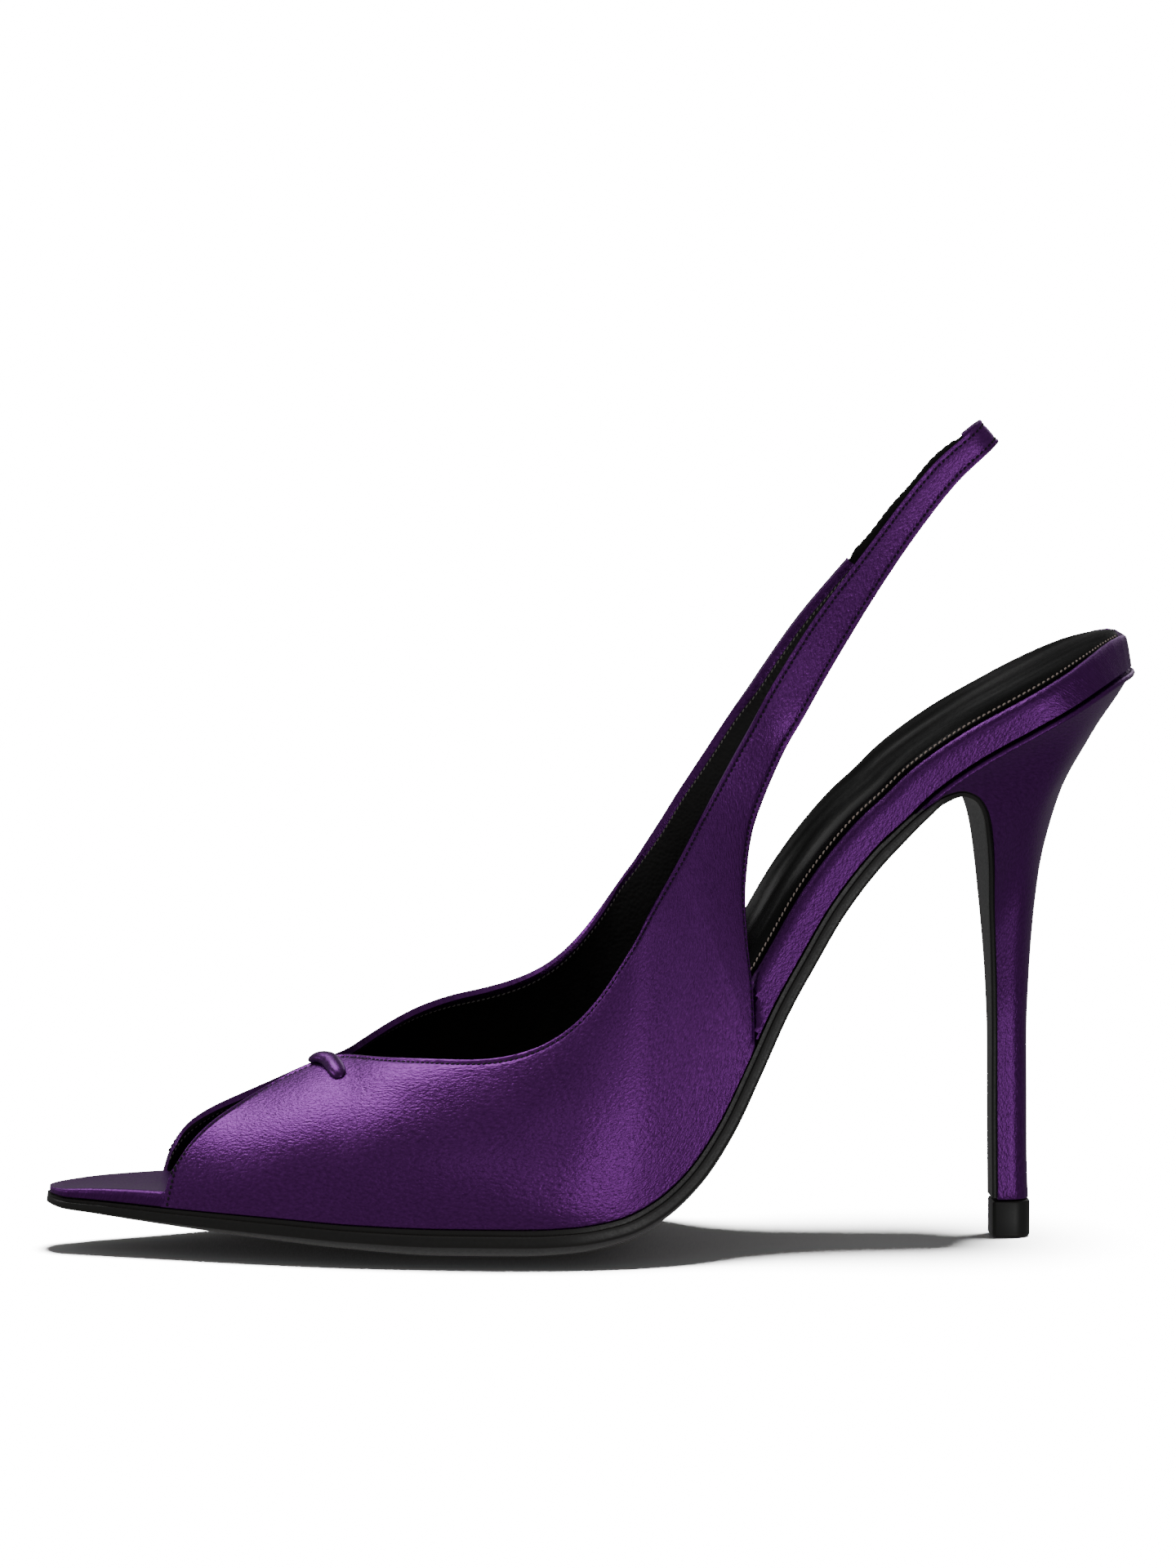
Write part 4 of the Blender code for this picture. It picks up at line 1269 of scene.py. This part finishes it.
@dataclass
class Board:
    """Insole board wrapped in satin, with soft edges, bare at the toe, higher round the seat's back."""

    line: FeatherLine
    pace: float = 1.2
    front_late: float = 1.2
    front_lean: float = 0.3
    front_span: float = 0.3
    ease: float = 2.0
    ease_thick: float = 0.55
    ease_wide: float = 0.4
    walls: tuple = (0.12, 0.35, 0.6, 0.85)
    lip: float = 1.0
    lip_long: float = 14.0
    lip_deep: float = 1.6
    back_round: float = 2.2
    seat_front: float = 0.105
    plug: float = 0.9
    plug_wide: float = 0.9
    under: tuple = (-1.0, -0.94, -0.9, -0.75, -0.5, -0.25, 0.0, 0.25, 0.5, 0.75, 0.9, 0.94, 1.0)

    def inset(self, s: np.ndarray, rise: np.ndarray) -> np.ndarray:
        """How far the board's edge stands in where the upper covers it."""
        sizes = self.line.sizes
        span = sizes.step * sizes.toe_reach
        past_front = s - self.line.at(sizes.vamp_front) - self.front_late - self.front_lean * rise
        front = np.clip(past_front / (self.front_span * span), 0.0, 1.0)
        past_back = self.line.at(sizes.quarter_back) + sizes.step_lean * rise - s
        back = np.clip(past_back / span, 0.0, 1.0)
        return (sizes.wall + 3 * sizes.gap) * np.minimum(front, back)

    def sections(self) -> np.ndarray:
        """Closed sections of the wrapped board."""
        sizes = self.line.sizes
        stop = self.line.end - 0.3
        s = self.line.stations(0.35, stop, self.pace, sizes.toe_round, sizes.seat_round)[:, None]
        thick = self.line.value("board", s, sizes.board_thick)
        wide = {side: self.line.half(s, side) for side in Side}
        least = np.minimum(wide[Side.LATERAL], wide[Side.MEDIAL]) - self.inset(s, 0.0)
        ease = np.minimum(np.minimum(self.ease, self.ease_thick * thick), self.ease_wide * least)
        left = self.line.end - s
        seat = np.clip(s - self.line.at(self.seat_front), 0.0, 1.0) * np.clip(left - 2.0, 0.0, 1.0)
        cols = []
        for w in self.under:
            side = Side.of(w)
            y = w * (wide[side] - self.inset(s, 0.0))
            plug = self.plug * seat if abs(w) <= self.plug_wide else 0.0
            cols.append(self.line.place(s, 1.4 * sizes.gap - plug - self.line.dip(s, y), y))
        levels = [(k * (thick - ease), 0.0) for k in self.walls]
        turns = np.radians(np.arange(0, 91, 18))
        levels += [(thick - ease + ease * math.sin(a), 1 - math.cos(a)) for a in turns]
        near, last = (np.clip(1 - left / long, 0.0, 1.0) for long in (self.lip_long, self.back_round))
        lip = self.lip * near**2 * (3 - 2 * near) - self.back_round * (1 - np.sqrt(1 - last**2))
        rims = {}
        for side in Side:
            rims[side] = [
                self.line.place(
                    s,
                    sizes.gap + rise + lip * np.clip(2 * rise / thick - 1, 0.0, 1.0),
                    side.value * (wide[side] - self.inset(s, rise) - draw * ease),
                )
                for rise, draw in levels
            ]
        cols += rims[Side.MEDIAL]
        for w in np.linspace(0.9, -0.9, 13):
            side = Side.of(w)
            y = w * (wide[side] - self.inset(s, thick) - ease)
            rise = sizes.gap + thick - self.line.hollow(s, w)
            behind = np.clip(self.lip_deep - left / self.lip_deep, 0.0, 1.0)
            cols.append(self.line.place(s, rise + lip * behind, y))
        cols += rims[Side.LATERAL][::-1]
        cols.append(cols[0])
        return np.concatenate(cols, axis=1)

    def build(self) -> list:
        """Builds the wrapped board."""
        obj = Bench.solid("wrapped_insole_board", self.sections(), 50.0)
        return [Piece(obj, ("shaded_wrap_satin",), "board_satin", ("insole_board",))]


@dataclass
class Sock:
    """Padded leather sock with a stitched groove just inside its edge."""

    line: FeatherLine
    board: Board
    pace: float = 1.3
    under_gaps: float = 1.3
    top_gaps: float = 1.5
    swell: float = 1.15
    edge_drop: float = 0.9
    edge_reach: float = 2.4
    middle_drop: float = 0.25
    seam: float = 0.75
    seam_deep: float = 0.15
    seam_wide: float = 0.35
    rim_deep: float = 0.25
    rim_wide: float = 0.2
    flat_from: float = 14.0
    away: tuple = (0.0, 0.2, 0.45, 0.75, 1.05, 1.4, 2.0, 2.8, 4.0, 6.0, 9.0, 12.0)

    def top(self, s: np.ndarray, side: Side, away: float) -> np.ndarray:
        """Points of the top a distance in from the edge.

        Args:
            s: Walked distances, as a column.
            side: Side of the shoe.
            away: Distance in from the sock's edge, in mm.

        Returns:
            Points of one column.
        """
        sizes = self.line.sizes
        thick = self.line.value("board", s, sizes.board_thick)
        base = self.top_gaps * sizes.gap + thick
        full = self.line.half(s, side, sizes.sock_inset) - self.board.inset(s, thick)
        reach = full * min(1.0, away / self.flat_from + 0.05)
        d = np.minimum(away, reach) if away < self.flat_from else full
        w = 1 - d / np.maximum(full, 0.1)
        fall = self.edge_drop * np.exp(-d / self.edge_reach)
        crown = sizes.sock_thick * (self.swell - fall - self.middle_drop * (1 - w * w))
        groove = self.seam_deep * np.exp(-(((away - self.seam) / self.seam_wide) ** 2))
        edge = self.rim_deep * math.exp(-((away / self.rim_wide) ** 2))
        rise = base + crown - groove - edge - self.line.hollow(s, w)
        return self.line.place(s, rise, side.value * (full - d))

    def sections(self, s: np.ndarray) -> np.ndarray:
        """Closed sections of the sock at the places s."""
        sizes = self.line.sizes
        s = s[:, None]
        thick = self.line.value("board", s, sizes.board_thick)
        cols = []
        for w in np.linspace(-1, 1, 11):
            side = Side.of(w)
            y = w * (self.line.half(s, side, sizes.sock_inset) - self.board.inset(s, thick))
            rise = self.under_gaps * sizes.gap + thick - self.line.hollow(s, w)
            cols.append(self.line.place(s, rise, y))
        cols += [self.top(s, Side.MEDIAL, a) for a in self.away]
        cols.append(self.top(s, Side.MEDIAL, math.inf))
        cols += [self.top(s, Side.LATERAL, a) for a in self.away[::-1]]
        cols.append(cols[0])
        return np.concatenate(cols, axis=1)

    def build(self) -> list:
        """Builds the sock and its stitches."""
        sizes = self.line.sizes
        start, stop = self.line.at(sizes.sock_front), self.line.end - sizes.sock_inset - 0.3
        s = self.line.stations(start, stop, self.pace, 0.0, sizes.seat_round - sizes.sock_inset)
        obj = Bench.solid("padded_sock", self.sections(s), 50.0)
        turn = s[s < stop - 0.2][:, None]
        lines = [self.top(turn, side, self.seam)[:, 0] for side in Side]
        line = even(np.concatenate([lines[0], lines[1][::-1]]), 900)
        normal = np.tile([-0.5, 0.0, 0.85], (len(line), 1))
        thread = Stitching(length=0.95, radius=0.2, slant=32.0)
        stitches = thread.sew("sock_stitches", [(line + normal * 0.1, normal)])
        return [
            Piece(obj, ("sock",), "sock_leather", ("sock",)),
            Piece(stitches, ("sock_thread",), "sock_leather"),
        ]


@dataclass
class Sole:
    """Thin leather sole with a fine top edge that runs down the heel's breast as a flap.

    Its edge goes from the hidden side to the tread by shares of the inset and of the thickness.
    """

    line: FeatherLine
    pace: float = 1.2
    flap_rows: int = 110
    inset: float = 0.4
    inset_thick: float = 0.3
    hidden: tuple = (0.2, 0.4, 0.6, 0.8, 0.96)
    tread: tuple = (0.15, 0.3, 0.45, 0.65, 0.85)
    upper_half: tuple = ((1.2, 0.0), (1.4, 0.14), (1.4, 0.27), (0.25, 0.30), (0.0, 0.35))
    lower_half: tuple = ((0.0, 0.5), (0.0, 0.65), (0.05, 0.80), (0.35, 0.94), (1.0, 1.0))

    def breast(self) -> np.ndarray:
        """Hidden side of the sole past the shank, rows (x, z, half width, thickness)."""
        sizes = self.line.sizes
        leave = self.line.at(sizes.sole_leaves)
        start = (
            *self.line.point(leave),
            self.line.half(leave, Side.LATERAL) + sizes.welt,
            self.line.value("sole", leave, sizes.tread_thick),
        )
        rows = [
            np.multiply(row, (-sizes.toe_reach, sizes.heel_height, sizes.ball_width, sizes.tread_thick))
            for row in BREAST[1:]
        ]
        rows = np.array([start, *rows], float)
        s = walk(rows[:, :2])
        at = np.linspace(0.0, s[-1], self.flap_rows)
        return np.stack([smooth(at, s, rows[:, c]) for c in range(4)], axis=1)

    def sections(self) -> np.ndarray:
        """Closed sections of the sole and its flap."""
        sizes = self.line.sizes
        stop = self.line.at(sizes.sole_leaves)
        s = self.line.stations(0.0, stop, self.pace, sizes.toe_round)[:, None]
        flap = self.breast()[1:]
        n = unit(np.stack([-np.gradient(flap[:, 1]), np.gradient(flap[:, 0])], axis=1))
        thick = np.concatenate([self.line.value("sole", s[:, 0], sizes.tread_thick), flap[:, 3]])
        half = {
            side: np.concatenate([self.line.half(s[:, 0], side) + sizes.welt, flap[:, 2]])
            for side in Side
        }
        point = np.concatenate([self.line.point(s[:, 0]), flap[:, :2]])
        normal = np.concatenate([self.line.normal(s[:, 0]), n])
        inner, none = np.minimum(self.inset, self.inset_thick * thick), 0 * thick

        def lay(side: Side, share: float, in_by: np.ndarray, drop: np.ndarray) -> np.ndarray:
            """One column of the sole's surface."""
            y = side.value * share * np.maximum(half[side] - in_by, 0.05)
            dip = np.concatenate([self.line.dip(s[:, 0], y[: len(s)]), 0 * flap[:, 0]])
            x, height = (point[:, c] - (dip + drop) * normal[:, c] for c in range(2))
            return np.stack([x, y, np.maximum(height, 0.0)], axis=1)[:, None]

        cols = [lay(Side.LATERAL, w, none, none) for w in self.hidden[::-1]]
        cols += [lay(Side.MEDIAL, w, none, none) for w in (0.0, *self.hidden)]
        edge = self.upper_half + self.lower_half
        rim = {side: [lay(side, 1.0, inner * a, thick * b) for a, b in edge] for side in Side}
        cols += rim[Side.MEDIAL]
        cols += [lay(Side.MEDIAL, w, inner, thick) for w in (*self.tread[::-1], 0.0)]
        cols += [lay(Side.LATERAL, w, inner, thick) for w in self.tread]
        cols += rim[Side.LATERAL][::-1]
        cols.append(cols[0])
        return np.concatenate(cols, axis=1)

    def build(self) -> list:
        """Builds the sole."""
        obj = Bench.solid("leather_sole", self.sections(), 45.0)
        return [Piece(obj, ("sole",), "sole_leather", ("outsole",))]


@dataclass
class Heel:
    """Satin covered stiletto with a folded top edge, cut back to the sole's flap."""

    line: FeatherLine
    sole: Sole
    levels: int = 70
    straight_steps: int = 15
    round_steps: int = 19
    passes: int = 3
    fold: float = 0.6
    fold_out: float = 1.012
    fold_front: float = 0.118
    drop: float = 0.45
    bite: float = 0.05
    below: float = 5.0
    cut_to: float = 0.35
    fold_steps: int = 220

    def rings(self) -> np.ndarray:
        """Level outlines of the heel before its breast is cut, from low to high."""
        sizes = self.line.sizes
        low = sizes.lift_height + sizes.gap
        rise = np.linspace(0, 1, self.levels)
        known = column(HEEL, "rise")
        front, back, half = (smooth(rise, known, column(HEEL, c)) for c in ("front", "back", "half"))
        far, near = (-sizes.toe_reach * column(HEEL, c)[-1] for c in ("front", "back"))
        turn = np.radians(np.linspace(90, 0, self.round_steps))
        straight = np.linspace(far, near - sizes.seat_round, self.straight_steps)[:-1]
        xs = np.concatenate([straight, near - sizes.seat_round * (1 - np.cos(turn))])
        share = (xs - far) / (near - far)
        wide = np.sqrt(np.clip(1 - (1 - np.clip((near - xs) / sizes.seat_round, 0, 1)) ** 2, 0, 1))
        seat = smooth(xs, self.line.x, self.line.z)
        rows = []
        for r, f, b, h in zip(rise, front, back, half):
            x0, x1 = -sizes.toe_reach * f, -sizes.toe_reach * b
            x = x0 + share * (x1 - x0)
            height = low + (seat - self.drop - low) * r
            side = np.stack([x, -sizes.ball_width * h * wide, height], axis=1)
            other = side[::-1][1:] * np.array([1.0, -1.0, 1.0])
            rows.append(np.concatenate([side, other, side[:1]]))
        return relax(np.array(rows), self.passes)

    def blank(self) -> bpy.types.Object:
        """The heel before its breast is cut."""
        points = self.rings()
        flat = np.array([1.0, 0.0, 1.0])
        points = np.concatenate([points[:1] * flat, points, points[-1:] * flat])
        return Bench.sheet("heel_cover", points, closed=True)

    def cutter(self) -> bpy.types.Object:
        """Prism that clears everything in front of the sole's flap."""
        sizes = self.line.sizes
        flap = self.sole.breast()
        n = unit(np.stack([-np.gradient(flap[:, 1]), np.gradient(flap[:, 0])], axis=1))
        edge = flap[:, :2] - self.bite * n
        edge[-1, 1] = -self.below
        ring = []
        for y in (-sizes.ball_width, sizes.ball_width):
            near = np.stack([edge[:, 0], np.full(len(edge), y), edge[:, 1]], axis=1)
            corner = [[-sizes.toe_reach * self.cut_to, y, -self.below]]
            ring.append(np.concatenate([near, corner, near[:1]]))
        return Bench.sheet("breast_cutter", np.array(ring), closed=True, caps=True)

    def build(self) -> list:
        """Builds the heel and the fold along its top edge."""
        sizes = self.line.sizes
        heel, cutter = self.blank(), self.cutter()
        Bench.apply(heel, "BOOLEAN", operation="DIFFERENCE", object=cutter, solver="EXACT")
        bpy.data.objects.remove(cutter)
        Bench.bevel(heel, 0.25, 2)
        Bench.finish(heel, 40.0)
        top = self.rings()[-1, :-1]
        top = top[top[:, 0] > -sizes.toe_reach * self.fold_front]
        path = top * np.array([1.0, self.fold_out, 1.0]) - np.array([0.0, 0.0, self.fold - 0.1])
        path = even(path, self.fold_steps)
        out = np.tile([0.0, 0.0, 1.0], (self.fold_steps, 1))
        step = np.arange(self.fold_steps)
        radius = self.fold * np.minimum(1.0, np.minimum(step, step[::-1]) / 6 + 0.1)
        fold = Bench.solid("heel_top_fold", Bench.tube(path, out, radius, radius, 8), 60.0)
        return [
            Piece(heel, ("shaded_wrap_satin",), "heel_satin", ("heel",)),
            Piece(fold, ("shaded_wrap_satin",), "heel_satin"),
        ]


@dataclass
class TopLift:
    """Black top lift with a flat front, a round back and eased edges."""

    line: FeatherLine
    long: float = 7.7
    wide: float = 8.2
    back_round: float = 3.6
    front_round: float = 0.8
    ease: float = 0.5

    def build(self) -> list:
        """Builds the lift from a cube: bevelled corners, then eased rims."""
        height = self.line.sizes.lift_height
        bpy.ops.object.select_all(action="DESELECT")
        bpy.ops.mesh.primitive_cube_add(size=1.0)
        obj = bpy.context.object
        obj.name = obj.data.name = "heel_top_lift"
        size = np.array([self.long, self.wide, height]) * MM
        for v in obj.data.vertices:
            v.co = Vector((v.co.x * size[0], v.co.y * size[1], (v.co.z + 0.5) * size[2]))
        Bench.select(obj)
        for back, radius, segments in ((True, self.back_round, 10), (False, self.front_round, 3)):
            bpy.ops.object.mode_set(mode="EDIT")
            bpy.ops.mesh.select_mode(type="EDGE")
            bpy.ops.mesh.select_all(action="DESELECT")
            bpy.ops.object.mode_set(mode="OBJECT")
            for edge in obj.data.edges:
                a, b = (obj.data.vertices[i].co for i in edge.vertices)
                upright = abs(a.z - b.z) > 0.9 * size[2]
                edge.select = upright and (a.x > 0.45 * size[0] if back else a.x < -0.45 * size[0])
            bpy.ops.object.mode_set(mode="EDIT")
            bpy.ops.mesh.bevel(offset=radius * MM, segments=segments)
            bpy.ops.object.mode_set(mode="OBJECT")
        Bench.bevel(obj, self.ease, 3)
        Bench.finish(obj, 40.0)
        return [Piece(obj, ("lift",), "top_lift", ("top_lift",))]


@dataclass
class Studio:
    """Pale floor, soft lights and the camera. lamps holds each light's name, place, size and power."""

    camera_at: tuple = (-0.22994701, -1.68362546, 0.27297826)
    camera_to: tuple = (-0.08264887, 0.0, 0.08937936)
    focal: float = 201.74
    aim: tuple = (-0.08, 0.0, 0.06)
    wash: float = 60.0
    wash_angle: float = 20.0
    ambient: float = 0.19
    backdrop: float = 16.0
    lamps: tuple = (
        ("key", (-0.50, 0.50, 1.10), (0.5, 0.5), 4.6),
        ("left", (-1.5, 0.22, 0.82), (0.3, 0.35), 2.4),
        ("front", (-0.15, -1.7, 0.8), (1.0, 0.5), 1.0),
        ("fill", (0.47, -1.38, -0.16), (0.22, 0.4), 2.0),
        ("rim", (0.5, 1.0, 0.6), (0.6, 0.6), 1.4),
    )

    def floor(self) -> None:
        """Lays the floor, which isn't part of the shoe."""
        bpy.ops.object.select_all(action="DESELECT")
        bpy.ops.mesh.primitive_plane_add(size=240.0, location=(0.0, 0.0, -0.0001))
        floor = bpy.context.object
        floor.name = "studio_floor"
        floor.visible_diffuse = floor.visible_glossy = floor.visible_shadow = False
        g = Graph("pale_floor")
        g.set(Base_Color=(0.86, 0.86, 0.86, 1.0), Roughness=0.9, Specular_IOR_Level=0.0)
        floor.data.materials.append(g.material)
        data = bpy.data.lights.new("floor_wash", "SUN")
        data.energy, data.angle = self.wash, math.radians(self.wash_angle)
        wash = bpy.data.objects.new("floor_wash", data)
        bpy.context.scene.collection.objects.link(wash)
        wash.rotation_euler = (math.radians(-3.0), math.radians(8.0), 0.0)
        self.lit, self.spared = (bpy.data.collections.new(n) for n in ("floor_alone", "all_but_floor"))
        self.lit.objects.link(floor)
        self.spared.objects.link(floor)
        self.spared.collection_objects[0].light_linking.link_state = "EXCLUDE"
        wash.light_linking.receiver_collection = self.lit

    def light(self, name: str, at: tuple, size: tuple, power: float) -> None:
        """Hangs a soft box that faces the shoe.

        Args:
            name: Name of the light.
            at: Its place, in metres.
            size: Width and height, in metres.
            power: Watts.
        """
        data = bpy.data.lights.new(name, "AREA")
        data.shape, data.size, data.size_y, data.energy = "RECTANGLE", size[0], size[1], power
        lamp = bpy.data.objects.new(name, data)
        bpy.context.scene.collection.objects.link(lamp)
        lamp.location = at
        lamp.visible_camera = False
        lamp.light_linking.receiver_collection = self.spared
        lamp.rotation_mode = "QUATERNION"
        lamp.rotation_quaternion = (Vector(self.aim) - Vector(at)).to_track_quat("-Z", "Y")

    def surround(self) -> None:
        """A dim even light from all around, before a white backdrop."""
        world = bpy.data.worlds.new("white_studio")
        world.use_nodes = True
        tree = world.node_tree
        back = tree.nodes["Background"]
        back.inputs["Color"].default_value = (1.0, 1.0, 1.0, 1.0)
        back.inputs["Strength"].default_value = self.ambient
        white = tree.nodes.new("ShaderNodeBackground")
        white.inputs["Strength"].default_value = self.backdrop
        seen, mix = tree.nodes.new("ShaderNodeLightPath"), tree.nodes.new("ShaderNodeMixShader")
        tree.links.new(seen.outputs["Is Camera Ray"], mix.inputs[0])
        tree.links.new(back.outputs[0], mix.inputs[1])
        tree.links.new(white.outputs[0], mix.inputs[2])
        tree.links.new(mix.outputs[0], tree.nodes["World Output"].inputs["Surface"])
        bpy.context.scene.world = world

    def build(self) -> None:
        """Builds the studio."""
        self.floor()
        for lamp in self.lamps:
            self.light(*lamp)
        self.surround()
        data = bpy.data.cameras.new("studio_camera")
        data.sensor_fit, data.sensor_width, data.lens = "AUTO", 36.0, self.focal
        data.clip_start, data.clip_end = 0.1, 60.0
        camera = bpy.data.objects.new("studio_camera", data)
        bpy.context.scene.collection.objects.link(camera)
        camera.location = self.camera_at
        camera.rotation_mode = "QUATERNION"
        ahead = Vector(self.camera_to) - Vector(self.camera_at)
        camera.rotation_quaternion = ahead.to_track_quat("-Z", "Y")
        bpy.context.scene.camera = camera


def main() -> None:
    """Builds the whole scene around the frame."""
    logging.basicConfig(level=logging.INFO, format="%(message)s")
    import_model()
    line = FeatherLine()
    upper, board, sole = Upper(line), Board(line), Sole(line)
    wardrobe = Wardrobe()
    straps = (upper, Elastic(upper), KnotBand(upper))
    bottom = (board, Sock(line, board), sole, Heel(line, sole), TopLift(line))
    for maker in straps + bottom:
        for piece in maker.build():
            piece.settle(wardrobe)
    Studio().build()


if __name__ == "__main__":
    main()
